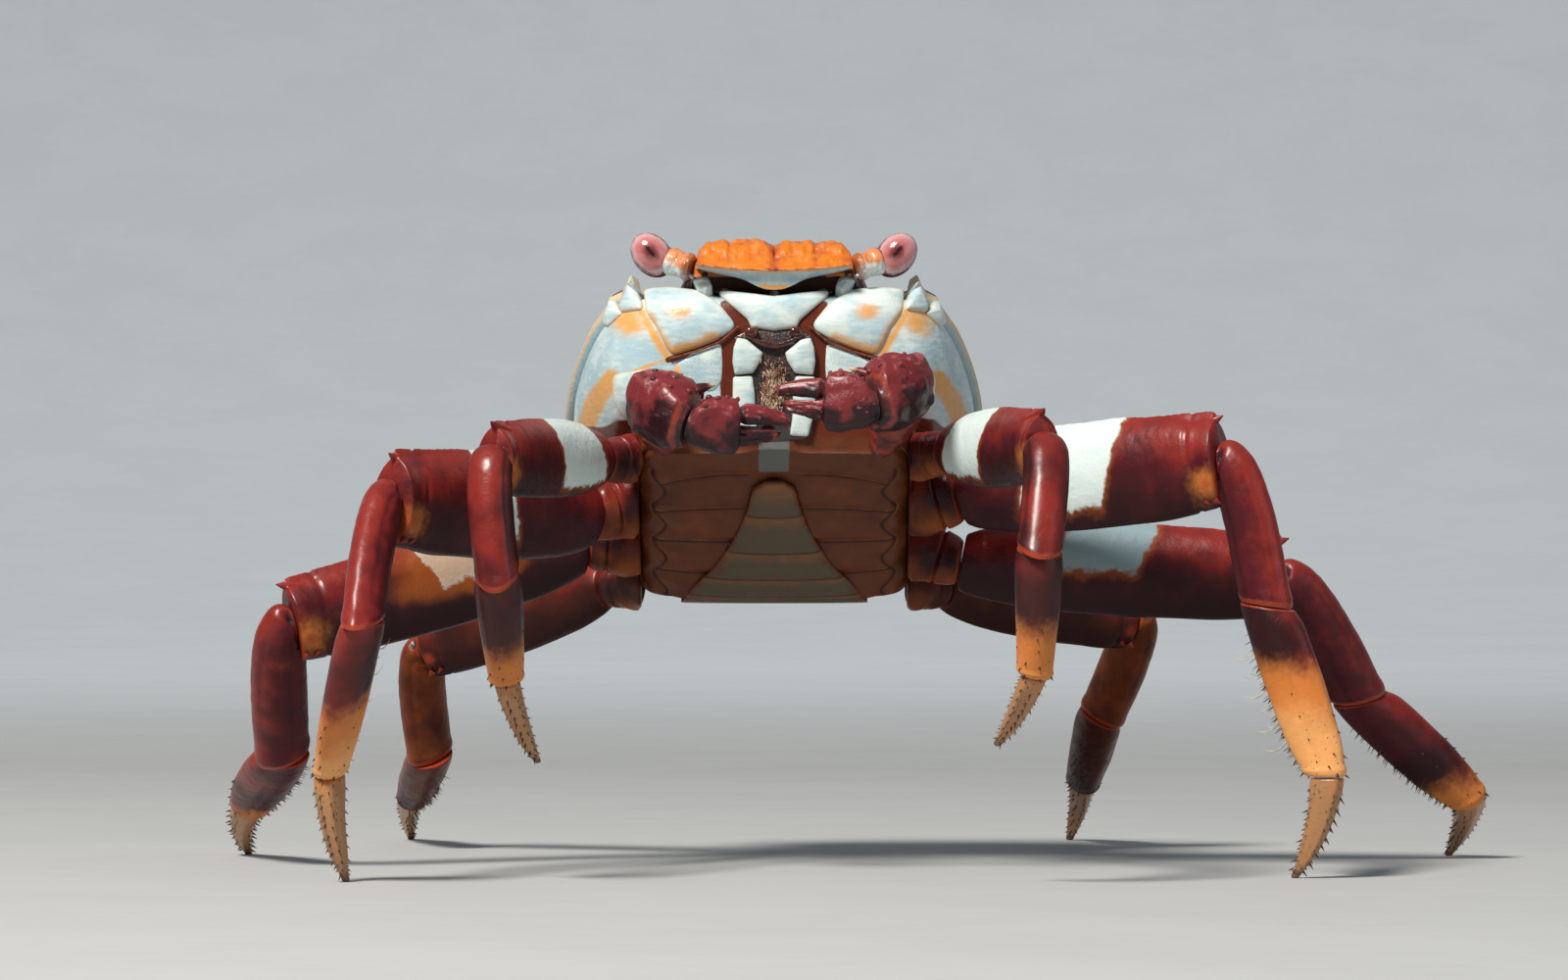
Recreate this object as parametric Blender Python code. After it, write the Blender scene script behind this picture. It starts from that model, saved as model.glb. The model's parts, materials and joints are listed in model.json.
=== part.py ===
"""A Sally Lightfoot crab at life size, standing with its front raised and its first walking legs lifted.

The crab faces -Y and its own left side is at +X. It stands on the flats of six feet at z = 0.
Lengths of the body and limbs are shares of the carapace's width. In the body's own frame a point is given
across (to the crab's left), along (to its front) and above (to its back).
"""

import math

import bmesh
import bpy
import numpy as np

# Driving dimensions, in metres and degrees.
CARAPACE_WIDTH = 0.070
BODY_CENTRE = (-0.0140, 0.0023, 0.0830)  # the middle of the carapace
BODY_PITCH = 42.0  # how far the front is raised
GAP = 0.0003  # clear space between neighbouring pieces
FOOT_RADIUS = 0.0007  # half the width of the flat under each standing foot

# Everything below is in shares of the carapace's width, with angles in degrees.
GAP_SHARE = GAP / CARAPACE_WIDTH

# Carapace, seen from above: a rounded outline with a straight front, two orbits and two teeth a side.
WIDEST_ALONG = -0.110
SIDE_REACH = 0.503
FRONT_ROUND = (0.780, 1.75)  # reach and squareness of the outline ahead of the widest place
REAR_ROUND = (0.370, 2.40)
REAR_MARGIN = -0.458
FRONT_HALF = 0.187
FRONT_MARGIN = (0.455, -0.135)  # along and above
ORBIT_AND_TEETH = ((0.196, 0.385), (0.255, 0.350), (0.313, 0.362), (0.341, 0.396),
                   (0.360, 0.345), (0.388, 0.326), (0.396, 0.300))
SIDE_MARGIN_HEIGHT = -0.080
CROWN_HEIGHT = 0.055
SEAM_HEIGHT = -0.100  # flat underside of the carapace
LOBE_HEIGHT = 0.012  # four lobes along the top of the front

# Thorax, from the seam down: height, flat front, flat rear, half width and squareness of each level.
THORAX_LEVELS = (
    (SEAM_HEIGHT - GAP_SHARE, 0.335, -0.430, 0.474, 1.8),
    (-0.118, 0.400, -0.434, 0.486, 1.8),
    (-0.155, 0.410, -0.436, 0.484, 1.8),
    (-0.210, 0.386, -0.436, 0.464, 1.9),
    (-0.265, 0.340, -0.432, 0.430, 2.1),
    (-0.312, 0.300, -0.426, 0.385, 2.6),
    (-0.345, 0.272, -0.415, 0.330, 5.0),
    (-0.400, 0.230, -0.372, 0.325, 8.0),
    (-0.440, 0.196, -0.328, 0.318, 8.0),
)
THORAX_CORNER = 9.0  # how sharply the flat front and rear meet the sides
STERNUM_HEIGHT = THORAX_LEVELS[-1][0]

# Abdomen, folded under from behind: along, above and half width of each crossing.
ABDOMEN_PATH = ((0.100, 0.016), (0.070, 0.048), (-0.010, 0.066), (-0.110, 0.098), (-0.210, 0.145),
                (-0.300, 0.205), (-0.335, 0.215), (-0.385, 0.225), (-0.432, 0.225), (-0.448, 0.215),
                (-0.448, 0.195))
ABDOMEN_HEIGHTS = (0.0, 0.0, 0.0, 0.0, 0.0, 0.0, 0.008, 0.042, 0.092, 0.180, 0.300)
ABDOMEN_DEPTH = 0.020

EYE_PLACE = (0.287, 0.432, -0.036)
EYE_RADII = (0.058, 0.042)  # along its own upright axis, and around it
EYE_TILT = 40.0  # how far its upright axis leans out
STALK_ROOT = (0.203, 0.436, -0.078)
STALK_RADIUS = 0.033
ANTENNA_ROOT = (0.150, 0.432, -0.150)
ANTENNA_REACH = 0.070

# Mouth: outline of one outer mouthpart against the face, out from the middle and down from its upper end.
FACE_FRONT = 0.4395  # how far the upright face stands ahead of the body's middle
MOUTH_TOP = 0.064  # above the body's middle
MOUTH_PLATE = ((0.030, 0.000), (0.076, 0.004), (0.086, 0.060), (0.088, 0.150), (0.076, 0.225),
               (0.044, 0.232), (0.036, 0.150), (0.036, 0.100), (0.018, 0.055))
MOUTH_PLATE_DEPTH = 0.022

# Walking legs, first to fourth.
SIDES = {"right": -1, "left": 1}
SEGMENTS = ("base", "merus", "carpus", "propodus", "dactyl")
LEG_LENGTHS = (
    (0.115, 0.53, 0.27, 0.29, 0.23),
    (0.115, 0.67, 0.35, 0.42, 0.25),
    (0.115, 0.76, 0.38, 0.41, 0.24),
    (0.115, 0.56, 0.31, 0.35, 0.23),
)
# Half heights of merus, carpus and propodus.
LEG_GIRTHS = (
    (0.090, 0.052, 0.052),
    (0.124, 0.062, 0.068),
    (0.110, 0.066, 0.066),
    (0.090, 0.057, 0.058),
)
# How much broader, and then how much taller, the carpus, propodus and dactyl are than their profiles.
LEG_SHAPES = (
    ((1.40, 1.60, 1.30), 0.86),
    ((1.00, 1.00, 1.00), 1.00),
    ((1.00, 1.00, 1.00), 1.00),
    ((1.50, 1.55, 1.25), 0.90),
)
HIPS_ALONG = (0.120, -0.040, -0.200, -0.335)
HIP_OUT = 0.336
HIP_HEIGHT = -0.400
# Azimuth, from straight out towards the front, and elevation of each segment. A standing leg's propodus has
# no elevation: it falls as far as brings its foot to the floor.
LEG_POSES = {
    "right": (
        ((56, -2), (64, 0), (98, -74), (-95, -57), (-122, -56)),
        ((32, -10), (49, 2.5), (76, -51), (-67, None), (-150, -80)),
        ((3, 6), (23, -14), (-80, -56), (-73, None), (-86, -32)),
        ((-54, -1), (-34, -16), (-88, -61), (-79, None), (-86, -31)),
    ),
    "left": (
        ((50, 8), (68, 1), (95, -58), (-99, -80), (-120, -45)),
        ((15, 14), (27, 6), (27, -71), (22, None), (-150, -70)),
        ((4, -16), (5, -3), (-36, -49), (-30, None), (-101, -38)),
        ((-50, -3), (-33, -8), (-110, -53), (-96, None), (-99, -42)),
    ),
}
ELBOW_REACH = 0.050  # how far the carpus runs on along the merus before it bends down
MERUS_TOOTH = 0.024  # the tooth at the far upper corner of each merus
DACTYL_SAG = 0.22
FACE_REACH = 0.22  # how much of a segment eases into the plane it shares with its neighbour
RING_STEP = 0.05  # least distance of each further ring from that plane, in girths

# Claws: arm, wrist, palm and finger.
CLAW_ROOT = (0.258, -0.165)  # out from the body's middle, and above it
CLAW_LENGTHS = (0.210, 0.155, 0.110, 0.115)
CLAW_GIRTHS = (0.062, 0.083, 0.070, 0.066)
CLAW_POSES = {
    "right": ((80, 25), (134, -24), (191, -2), (188, -1)),
    "left": ((70, 35), (126, -18), (191, 3), (187, 5)),
}
WRIST_SPINE = 0.045

# Each profile: how far along, then half height above, half height below and half thickness, in girths.
BASE = ((0.0, 0.25, 0.55, 0.85, 1.0),
        (0.50, 0.60, 0.64, 0.58, 0.50),
        (0.50, 0.60, 0.64, 0.58, 0.50),
        (0.38, 0.42, 0.46, 0.46, 0.42))
MERUS = ((0.0, 0.05, 0.20, 0.50, 0.78, 0.93, 1.0),
         (0.62, 0.74, 0.90, 1.00, 0.96, 0.84, 0.76),
         (0.60, 0.72, 0.88, 0.98, 0.96, 0.88, 0.76),
         (0.44, 0.50, 0.50, 0.46, 0.44, 0.46, 0.46))
CARPUS = ((0.0, 0.14, 0.32, 0.55, 0.80, 1.0),
          (0.82, 0.98, 1.02, 1.00, 1.02, 0.94),
          (0.82, 0.90, 0.92, 0.98, 1.02, 0.94),
          (0.66, 0.74, 0.74, 0.72, 0.72, 0.66))
PROPODUS = ((0.0, 0.12, 0.35, 0.62, 0.86, 1.0),
            (0.86, 0.98, 1.04, 1.00, 0.84, 0.66),
            (0.86, 0.96, 1.02, 0.98, 0.86, 0.70),
            (0.62, 0.66, 0.64, 0.58, 0.52, 0.48))
DACTYL = ((0.0, 0.10, 0.35, 0.65, 0.88, 1.0),
          (0.56, 0.58, 0.50, 0.36, 0.20, 0.12),
          (0.56, 0.56, 0.44, 0.30, 0.18, 0.12),
          (0.42, 0.42, 0.36, 0.27, 0.17, 0.12))
ARM = ((0.0, 0.30, 0.65, 1.0),
       (0.70, 0.92, 1.00, 0.86),
       (0.70, 0.94, 1.04, 0.90),
       (0.60, 0.72, 0.78, 0.72))
WRIST = ((0.0, 0.16, 0.38, 0.62, 0.85, 1.0),
         (0.66, 0.92, 1.06, 1.06, 0.90, 0.62),
         (0.66, 0.86, 0.98, 1.00, 0.86, 0.62),
         (0.62, 0.86, 0.98, 0.96, 0.84, 0.62))
# The palm runs on as its lower, fixed finger. The last row lowers the middle of each ring.
PALM_LENGTH_SHARE = 0.52
PALM = ((0.0, 0.12, 0.32, 0.50, 0.53, 0.62, 0.80, 0.94, 1.0),
        (0.60, 0.84, 1.00, 0.92, 0.26, 0.22, 0.18, 0.14, 0.08),
        (0.60, 0.82, 0.98, 0.92, 0.42, 0.36, 0.28, 0.22, 0.12),
        (0.52, 0.62, 0.70, 0.64, 0.42, 0.38, 0.32, 0.30, 0.18),
        (0.0, 0.0, 0.0, 0.0, 0.26, 0.26, 0.23, 0.18, 0.14))
FINGER = ((0.0, 0.12, 0.40, 0.70, 0.92, 1.0),
          (0.40, 0.46, 0.42, 0.34, 0.24, 0.12),
          (0.26, 0.28, 0.22, 0.16, 0.14, 0.08),
          (0.42, 0.44, 0.38, 0.34, 0.30, 0.16))
FINGER_START = 0.542  # how far along the palm the moving finger starts
FINGER_LIFT = 0.32  # how far above the palm's middle line the moving finger starts

SHELL_RED = (0.22, 0.045, 0.035)
SHELL_ORANGE = (0.80, 0.26, 0.04)
SHELL_BLUE = (0.56, 0.70, 0.71)
SHELL_BROWN = (0.12, 0.03, 0.015)
EYE_PINK = (0.62, 0.25, 0.25)
CLAW_PURPLE = (0.20, 0.04, 0.05)


def unit(vector):
    return np.asarray(vector, float) / np.linalg.norm(vector)


def direction(side, azimuth, elevation):
    """The way out from the body on one side, turned towards the front and raised."""
    turn = math.radians(azimuth)
    rise = math.radians(elevation)
    level = math.cos(rise)
    return np.array([side * math.cos(turn) * level, -math.sin(turn) * level, math.sin(rise)])


def body_point(across, along, above):
    """Points of the body's own frame, in metres over the floor."""
    pitch = math.radians(BODY_PITCH)
    across, along, above = np.broadcast_arrays(across, along, above)
    back = above * math.sin(pitch) - along * math.cos(pitch)
    up = along * math.sin(pitch) + above * math.cos(pitch)
    return np.stack([across, back, up], -1) * CARAPACE_WIDTH + np.array(BODY_CENTRE)


def clear_scene():
    for old in list(bpy.data.objects):
        bpy.data.objects.remove(old)


def collection(name):
    made = bpy.data.collections.new(name)
    bpy.context.scene.collection.children.link(made)
    return made


def shell_material(name, colour, roughness):
    material = bpy.data.materials.new(name)
    material.use_nodes = True
    shader = material.node_tree.nodes["Principled BSDF"]
    shader.inputs["Base Color"].default_value = (*colour, 1)
    shader.inputs["Roughness"].default_value = roughness
    shader.inputs["Metallic"].default_value = 0
    return material


def add_object(name, shape, material, home):
    """The finished bmesh as a named object with its faces turned outwards."""
    bmesh.ops.recalc_face_normals(shape, faces=shape.faces)
    mesh = bpy.data.meshes.new(name)
    shape.to_mesh(mesh)
    shape.free()
    mesh.materials.append(material)
    mesh.shade_smooth()
    mesh.set_sharp_from_angle(angle=math.radians(40))
    home.objects.link(bpy.data.objects.new(name, mesh))


def loft(name, rings, material, home):
    """A closed mesh through rings of equal count, with a cap on each end."""
    count = len(rings[0])
    shape = bmesh.new()
    grid = [[shape.verts.new(point) for point in ring] for ring in rings]
    for near, far in zip(grid, grid[1:]):
        for k in range(count):
            after = (k + 1) % count
            shape.faces.new((near[k], near[after], far[after], far[k]))
    shape.faces.new(grid[0][::-1])
    shape.faces.new(grid[-1])
    add_object(name, shape, material, home)


def section(count, upper, lower, thickness, pinch=1.0):
    """How far up and sideways the points of one ring lie; a pinch above 1 draws its edges thin."""
    angle = np.arange(count) * 2 * math.pi / count
    rise, side = np.sin(angle), np.cos(angle)
    return np.where(rise > 0, upper, lower) * rise, thickness * np.sign(side) * np.abs(side) ** pinch


def turned(frame, axis):
    """The frame (axis, up, front) turned by the least angle that brings its axis to a new one."""
    old, new = frame[0], unit(axis)
    hinge = np.cross(old, new)
    sine, cosine = np.linalg.norm(hinge), float(old @ new)
    if sine < 1e-6:
        return np.array([new, frame[1], frame[2]])
    hinge = hinge / sine
    moved = [new]
    for arm in frame[1:]:
        moved.append(arm * cosine + np.cross(hinge, arm) * sine + hinge * (hinge @ arm) * (1 - cosine))
    return np.array(moved)


def limb_rings(path, frames, profile, girth, planes, count, pinch=1.0):
    """Rings along a path. The first and last lie in the two planes shared with the neighbours."""
    rings = []
    for k, spot in enumerate(profile[0]):
        axis, up, front = frames[k]
        upper, lower, thickness = (row[k] * girth for row in profile[1:4])
        rise, side = section(count, upper, lower, thickness, pinch)
        offsets = rise[:, None] * up + side[:, None] * front
        for plane, distance in ((planes[0], spot), (planes[1], 1 - spot)):
            share = max(0.0, 1 - distance / FACE_REACH)
            offsets = offsets - share * np.outer(offsets @ plane / (axis @ plane), axis)
        rings.append(path[k] + offsets)
    rings = np.array(rings)
    keep_between(rings, path[0], planes[0] * np.sign(planes[0] @ frames[0][0]), girth)
    keep_between(rings[::-1], path[-1], -planes[1] * np.sign(planes[1] @ frames[-1][0]), girth)
    return rings


def keep_between(rings, anchor, inwards, girth):
    """Push the first rings inwards where a bend would fold them back through the end plane."""
    for k, ring in enumerate(rings[:3]):
        lacking = np.maximum(0, k * RING_STEP * girth - (ring - anchor) @ inwards)
        ring += np.outer(lacking, inwards)


def straight(start, end, profile):
    return start + np.outer(profile[0], end - start)


def bent(start, corner, end, profile):
    """Points and tangents of the curve that leaves start towards corner and arrives at end."""
    t = np.array(profile[0])[:, None]
    points = (1 - t) ** 2 * start + 2 * t * (1 - t) * corner + t**2 * end
    tangents = 2 * (1 - t) * (corner - start) + 2 * t * (end - corner)
    return points, tangents


def upright_frame(axis):
    """Axis, the way across it that rises most, and the third way."""
    front = unit(np.cross(axis, (0, 0, 1)))
    return np.array([axis, np.cross(front, axis), front])


def carapace_outline():
    """The carapace's edge, from the middle of the front round by the left side: across and along."""
    lobes = [(share * FRONT_HALF, FRONT_MARGIN[0] - 0.004 * share) for share in (0, 0.25, 0.5, 0.75, 1.0)]
    turns = np.radians(np.linspace(52, 166, 15))
    reach, square = np.where(turns < math.pi / 2, FRONT_ROUND[0], REAR_ROUND[0]), np.where(
        turns < math.pi / 2, FRONT_ROUND[1], REAR_ROUND[1])
    radius = (np.sin(turns) / SIDE_REACH) ** square + np.abs(np.cos(turns) / reach) ** square
    polar = zip(radius ** (-1 / square), turns)
    sides = [(r * math.sin(a), max(REAR_MARGIN, WIDEST_ALONG + r * math.cos(a))) for r, a in polar]
    half = lobes + list(ORBIT_AND_TEETH) + sides + [(0.0, REAR_MARGIN)]
    mirrored = [(-across, along) for across, along in half[-2:0:-1]]
    return np.array(half + mirrored)


def margin_heights(outline):
    """Height of the edge: lowest across the front, rising behind the orbits to the sides."""
    nearness = np.clip((FRONT_MARGIN[0] - outline[:, 1]) / 0.09, 0, 1)
    front = (np.abs(outline[:, 0]) < FRONT_HALF + 0.02) & (outline[:, 1] > 0)
    heights = FRONT_MARGIN[1] + (SIDE_MARGIN_HEIGHT - FRONT_MARGIN[1]) * nearness
    return np.where(front, heights, SIDE_MARGIN_HEIGHT)


def carapace(material, home):
    outline = carapace_outline()
    blurred = sum(np.roll(outline, shift, 0) for shift in range(-3, 4)) / 7
    edge = margin_heights(outline)
    frontness = np.clip((0.26 - np.abs(outline[:, 0])) / 0.06, 0, 1) * (outline[:, 1] > 0)
    lobes = LOBE_HEIGHT * np.abs(np.sin(math.pi * outline[:, 0] / (FRONT_HALF / 2))) * frontness
    rings = []
    for t in (0.22, 0.42, 0.60, 0.74, 0.84, 0.91, 0.955, 0.985, 1.0):
        weight = np.clip((t - 0.80) / 0.20, 0, 1)
        plan = t * ((1 - weight) * blurred + weight * outline)
        squareness = 3.2 + 6.0 * frontness
        roundness = 0.62 - 0.17 * frontness
        dome = edge + (CROWN_HEIGHT - edge) * (1 - t**squareness) ** roundness
        crest = lobes * max(0.0, 1 - abs(t - 0.95) / 0.05)
        rings.append(body_point(plan[:, 0], plan[:, 1], dome + crest))
    rim = 0.955 * outline
    rings.append(body_point(rim[:, 0], rim[:, 1], SEAM_HEIGHT))
    loft("carapace", rings, material, home)


def thorax(material, home):
    rings = []
    turns = np.arange(44) * 2 * math.pi / 44
    for height, front, rear, half_width, square in THORAX_LEVELS:
        ahead = np.cos(turns) > 0
        reach = np.where(ahead, FRONT_ROUND[0], REAR_ROUND[0] + 0.05)
        side = np.abs(np.sin(turns) / half_width) ** square + np.abs(np.cos(turns) / reach) ** square
        side **= 1 / square
        flat = np.abs(np.cos(turns)) / np.where(ahead, front - WIDEST_ALONG, WIDEST_ALONG - rear)
        radius = (side**THORAX_CORNER + flat**THORAX_CORNER) ** (-1 / THORAX_CORNER)
        rings.append(body_point(radius * np.sin(turns), WIDEST_ALONG + radius * np.cos(turns), height))
    loft("thorax", rings, material, home)


def abdomen(material, home):
    """The narrow tail of a male, folded forwards under the thorax, with its flat side to the body."""
    clear = STERNUM_HEIGHT - GAP_SHARE - 0.004
    path = np.array([(along, clear + height) for (along, _), height in zip(ABDOMEN_PATH, ABDOMEN_HEIGHTS)])
    slopes = np.gradient(path, axis=0)
    slopes /= np.linalg.norm(slopes, axis=1)[:, None]
    rings = []
    for (along, above), (run, rise), (_, half_width) in zip(path, slopes, ABDOMEN_PATH):
        out, side = section(10, ABDOMEN_DEPTH, 0.003, half_width)
        rings.append(body_point(side, along + out * rise, above - out * -run))
    loft("abdomen", rings, material, home)


def eye(side_name, material, home):
    side = SIDES[side_name]
    across, along, above = EYE_PLACE
    centre = body_point(side * across, along, above)
    shape = bmesh.new()
    bmesh.ops.create_uvsphere(shape, u_segments=14, v_segments=9, radius=CARAPACE_WIDTH)
    tilt = math.radians(EYE_TILT)
    upright = np.array([side * math.sin(tilt), 0, math.cos(tilt)])
    for vertex in shape.verts:
        place = np.array(vertex.co) * EYE_RADII[1]
        place += upright * (place @ upright) * (EYE_RADII[0] / EYE_RADII[1] - 1)
        vertex.co = centre + place
    add_object(f"{side_name}_eye", shape, material, home)


def eyestalk(side_name, material, home):
    side = SIDES[side_name]
    root = body_point(side * STALK_ROOT[0], *STALK_ROOT[1:])
    centre = body_point(side * EYE_PLACE[0], *EYE_PLACE[1:])
    axis = unit(centre - root)
    tip = centre - axis * (0.052 * CARAPACE_WIDTH + GAP)
    profile = ((0.0, 0.5, 1.0), (0.86, 1.0, 0.96), (0.86, 1.0, 0.96), (0.86, 1.0, 0.96))
    frames = [upright_frame(axis)] * 3
    path = straight(root, tip, profile)
    rings = limb_rings(path, frames, profile, STALK_RADIUS * CARAPACE_WIDTH, (axis, axis), 12)
    loft(f"{side_name}_eyestalk", rings, material, home)


def antenna(side_name, material, home):
    """A short feeler on a stout first joint, lying out below the eyestalk."""
    side = SIDES[side_name]
    root = body_point(side * ANTENNA_ROOT[0], *ANTENNA_ROOT[1:])
    axis = unit(body_point(side, 0.1, 0.35) - body_point(0, 0, 0))
    tip = root + axis * ANTENNA_REACH * CARAPACE_WIDTH
    profile = ((0.0, 0.20, 0.42, 0.50, 1.0), (0.6, 1.0, 0.8, 0.35, 0.25), (0.6, 1.0, 0.8, 0.35, 0.25),
               (0.6, 1.0, 0.8, 0.35, 0.25))
    frames = [upright_frame(axis)] * 5
    path = straight(root, tip, profile)
    rings = limb_rings(path, frames, profile, 0.016 * CARAPACE_WIDTH, (axis, axis), 8)
    loft(f"{side_name}_antenna", rings, material, home)


def maxilliped(side_name, material, home):
    """One of the two outer mouthparts: an upright plate that lies against the face."""
    side = SIDES[side_name]
    centre = np.array(BODY_CENTRE)
    outline = np.array(MOUTH_PLATE) * CARAPACE_WIDTH
    rings = []
    for depth, inset in ((0.0, 1.0), (0.7, 1.0), (1.0, 0.86)):
        middle = outline.mean(0)
        ring = middle + (outline - middle) * inset
        forward = (FACE_FRONT + GAP_SHARE + depth * MOUTH_PLATE_DEPTH) * CARAPACE_WIDTH
        points = [(side * out, -forward, MOUTH_TOP * CARAPACE_WIDTH - down) for out, down in ring]
        rings.append(centre + np.array(points))
    loft(f"{side_name}_maxilliped", rings, material, home)


def claw(side_name, materials, home):
    """A claw held before the mouth: arm, wrist with an inner spine, palm with its fixed finger, and finger."""
    side = SIDES[side_name]
    poses = CLAW_POSES[side_name]
    arm_girth, wrist_girth, palm_girth, finger_girth = (share * CARAPACE_WIDTH for share in CLAW_GIRTHS)
    face = (FACE_FRONT + GAP_SHARE) * CARAPACE_WIDTH
    out, up = CLAW_ROOT
    joints = [np.array(BODY_CENTRE) + (side * out * CARAPACE_WIDTH, -face, up * CARAPACE_WIDTH)]
    for length, (azimuth, elevation) in zip(CLAW_LENGTHS[:3], poses):
        joints.append(joints[-1] + direction(side, azimuth, elevation) * length * CARAPACE_WIDTH)
    axes = [unit(b - a) for a, b in zip(joints, joints[1:])]
    elbow, wrist_end = unit(axes[0] + axes[1]), unit(axes[1] + axes[2])
    half = GAP / 2

    arm_frame = upright_frame(axes[0])
    path = straight(joints[0], joints[1] - axes[0] * half, ARM)
    rings = limb_rings(path, [arm_frame] * len(ARM[0]), ARM, arm_girth, (np.array([0, 1, 0]), elbow), 10)
    loft(f"{side_name}_claw_arm", rings, materials["brown"], home)

    wrist_frame = turned(arm_frame, axes[1])
    path = straight(joints[1] + axes[1] * half, joints[2] - axes[1] * half, WRIST)
    rings = limb_rings(path, [wrist_frame] * len(WRIST[0]), WRIST, wrist_girth, (elbow, wrist_end), 12)
    inner = int(np.argmax(rings[4] @ unit(axes[2] + (0, 0, 0.9))))
    rings[4, inner] += unit(axes[2] + (0, 0, 0.5)) * WRIST_SPINE * CARAPACE_WIDTH
    loft(f"{side_name}_claw_wrist", rings, materials["purple"], home)

    palm_frame = turned(wrist_frame, axes[2])
    start = joints[2] + axes[2] * half
    reach = CLAW_LENGTHS[2] / PALM_LENGTH_SHARE * CARAPACE_WIDTH
    path = straight(start, start + axes[2] * reach, PALM)
    path = path - np.outer(PALM[4], palm_frame[1]) * palm_girth
    rings = limb_rings(path, [palm_frame] * len(PALM[0]), PALM, palm_girth, (wrist_end, axes[2]), 12)
    loft(f"{side_name}_claw_palm", rings, materials["purple"], home)

    finger_axis = direction(side, *poses[3])
    finger_frame = turned(palm_frame, finger_axis)
    root = start + axes[2] * reach * FINGER_START + palm_frame[1] * FINGER_LIFT * palm_girth
    path = straight(root, root + finger_axis * CLAW_LENGTHS[3] * CARAPACE_WIDTH, FINGER)
    bow = np.array(FINGER[0]) ** 2 * 0.16 * palm_girth
    path = path - np.outer(bow, finger_frame[1])
    ends = (axes[2], finger_axis)
    rings = limb_rings(path, [finger_frame] * len(FINGER[0]), FINGER, finger_girth, ends, 10)
    loft(f"{side_name}_claw_finger", rings, materials["purple"], home)


def leg_joints(side, number, pose):
    """The six joints of one leg, from hip to tip."""
    lengths = np.array(LEG_LENGTHS[number]) * CARAPACE_WIDTH
    joints = [body_point(side * HIP_OUT, HIPS_ALONG[number], HIP_HEIGHT)]
    for k, (azimuth, elevation) in enumerate(pose):
        if elevation is None:
            tip_drop = lengths[4] * math.sin(math.radians(pose[4][1]))
            elevation = math.degrees(math.asin(-(joints[-1][2] + tip_drop) / lengths[k]))
        joints.append(joints[-1] + direction(side, azimuth, elevation) * lengths[k])
    return joints


def matched(ring, pattern):
    """The ring's points, started and wound so that each lies nearest the pattern's."""
    choices = [np.roll(way, k, 0) for way in (ring, ring[::-1]) for k in range(len(ring))]
    return min(choices, key=lambda choice: float(((choice - pattern) ** 2).sum()))


def shaped(profile, broad, tall):
    """The profile with its half heights multiplied by one number and its half thickness by another."""
    spots, upper, lower, thickness = (np.array(row) for row in profile)
    return spots, upper * tall, lower * tall, thickness * broad


def leg(side_name, number, materials, home):
    """One walking leg as five pieces, each stopping short of the next by the gap."""
    side = SIDES[side_name]
    pose = LEG_POSES[side_name][number]
    standing = pose[3][1] is None
    joints = leg_joints(side, number, pose)
    merus_girth, carpus_girth, propodus_girth = (share * CARAPACE_WIDTH for share in LEG_GIRTHS[number])
    axes = [unit(b - a) for a, b in zip(joints, joints[1:])]
    elbow = joints[2] + axes[1] * ELBOW_REACH * CARAPACE_WIDTH
    wrist_way = unit(joints[3] - elbow)
    planes = [np.array([1, 0, 0]), unit(axes[0] + axes[1]), axes[1]]
    planes += [unit(wrist_way + axes[3]), unit(axes[3] + axes[4])]
    half = GAP / 2
    broad, tall = LEG_SHAPES[number]
    carpus = shaped(CARPUS, broad[0], tall)
    propodus = shaped(PROPODUS, broad[1], tall)
    dactyl = shaped(DACTYL, broad[2], tall)

    def place(segment, rings, material):
        loft(f"{side_name}_leg_{number + 1}_{segment}", rings, materials[material], home)

    def straight_rings(k, start, end, frame, profile, girth, count, pinch=1.0):
        closing = planes[k + 1] if k < 4 else axes[4]
        path = straight(start, end, profile)
        frames = [frame] * len(profile[0])
        return limb_rings(path, frames, profile, girth, (planes[k], closing), count, pinch)

    merus_frame = upright_frame(axes[1])
    base_frame = turned(merus_frame, axes[0])
    base_girth = merus_girth * 0.92
    end = joints[1] - axes[0] * half
    place("base", straight_rings(0, joints[0], end, base_frame, BASE, base_girth, 10), "brown")

    start, end = joints[1] + axes[1] * half, joints[2] - axes[1] * half
    rings = straight_rings(1, start, end, merus_frame, MERUS, merus_girth, 12, 1.25)
    tooth = int(np.argmax(rings[-2] @ merus_frame[1]))
    rings[-2, tooth] += axes[1] * ((end - rings[-2, tooth]) @ axes[1] + MERUS_TOOTH * CARAPACE_WIDTH)
    place("merus", rings, "red")

    start, end = joints[2] + axes[1] * half, joints[3] - wrist_way * half
    path, tangents = bent(start, elbow, end, carpus)
    frames = [turned(merus_frame, tangent) for tangent in tangents]
    place("carpus", limb_rings(path, frames, carpus, carpus_girth, (planes[2], planes[3]), 10), "red")

    propodus_frame = turned(frames[-1], axes[3])
    start, end = joints[3] + axes[3] * half, joints[4] - axes[3] * half
    place("propodus", straight_rings(3, start, end, propodus_frame, propodus, propodus_girth, 10), "red")

    dactyl_frame = turned(propodus_frame, axes[4])
    rings = straight_rings(4, joints[4] + axes[4] * half, joints[5], dactyl_frame, dactyl, propodus_girth, 8)
    spots = np.array(DACTYL[0])
    sag = spots * (1 - spots) * DACTYL_SAG * LEG_LENGTHS[number][4] * CARAPACE_WIDTH
    rings += sag[:, None, None] * dactyl_frame[1]
    if standing:
        turns = np.arange(8) * 2 * math.pi / 8
        foot = np.stack([np.cos(turns), np.sin(turns), np.zeros(8)], 1) * FOOT_RADIUS
        rings[-1] = joints[5] + matched(foot, rings[-1] - joints[5])
    place("dactyl", rings, "orange")


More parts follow.
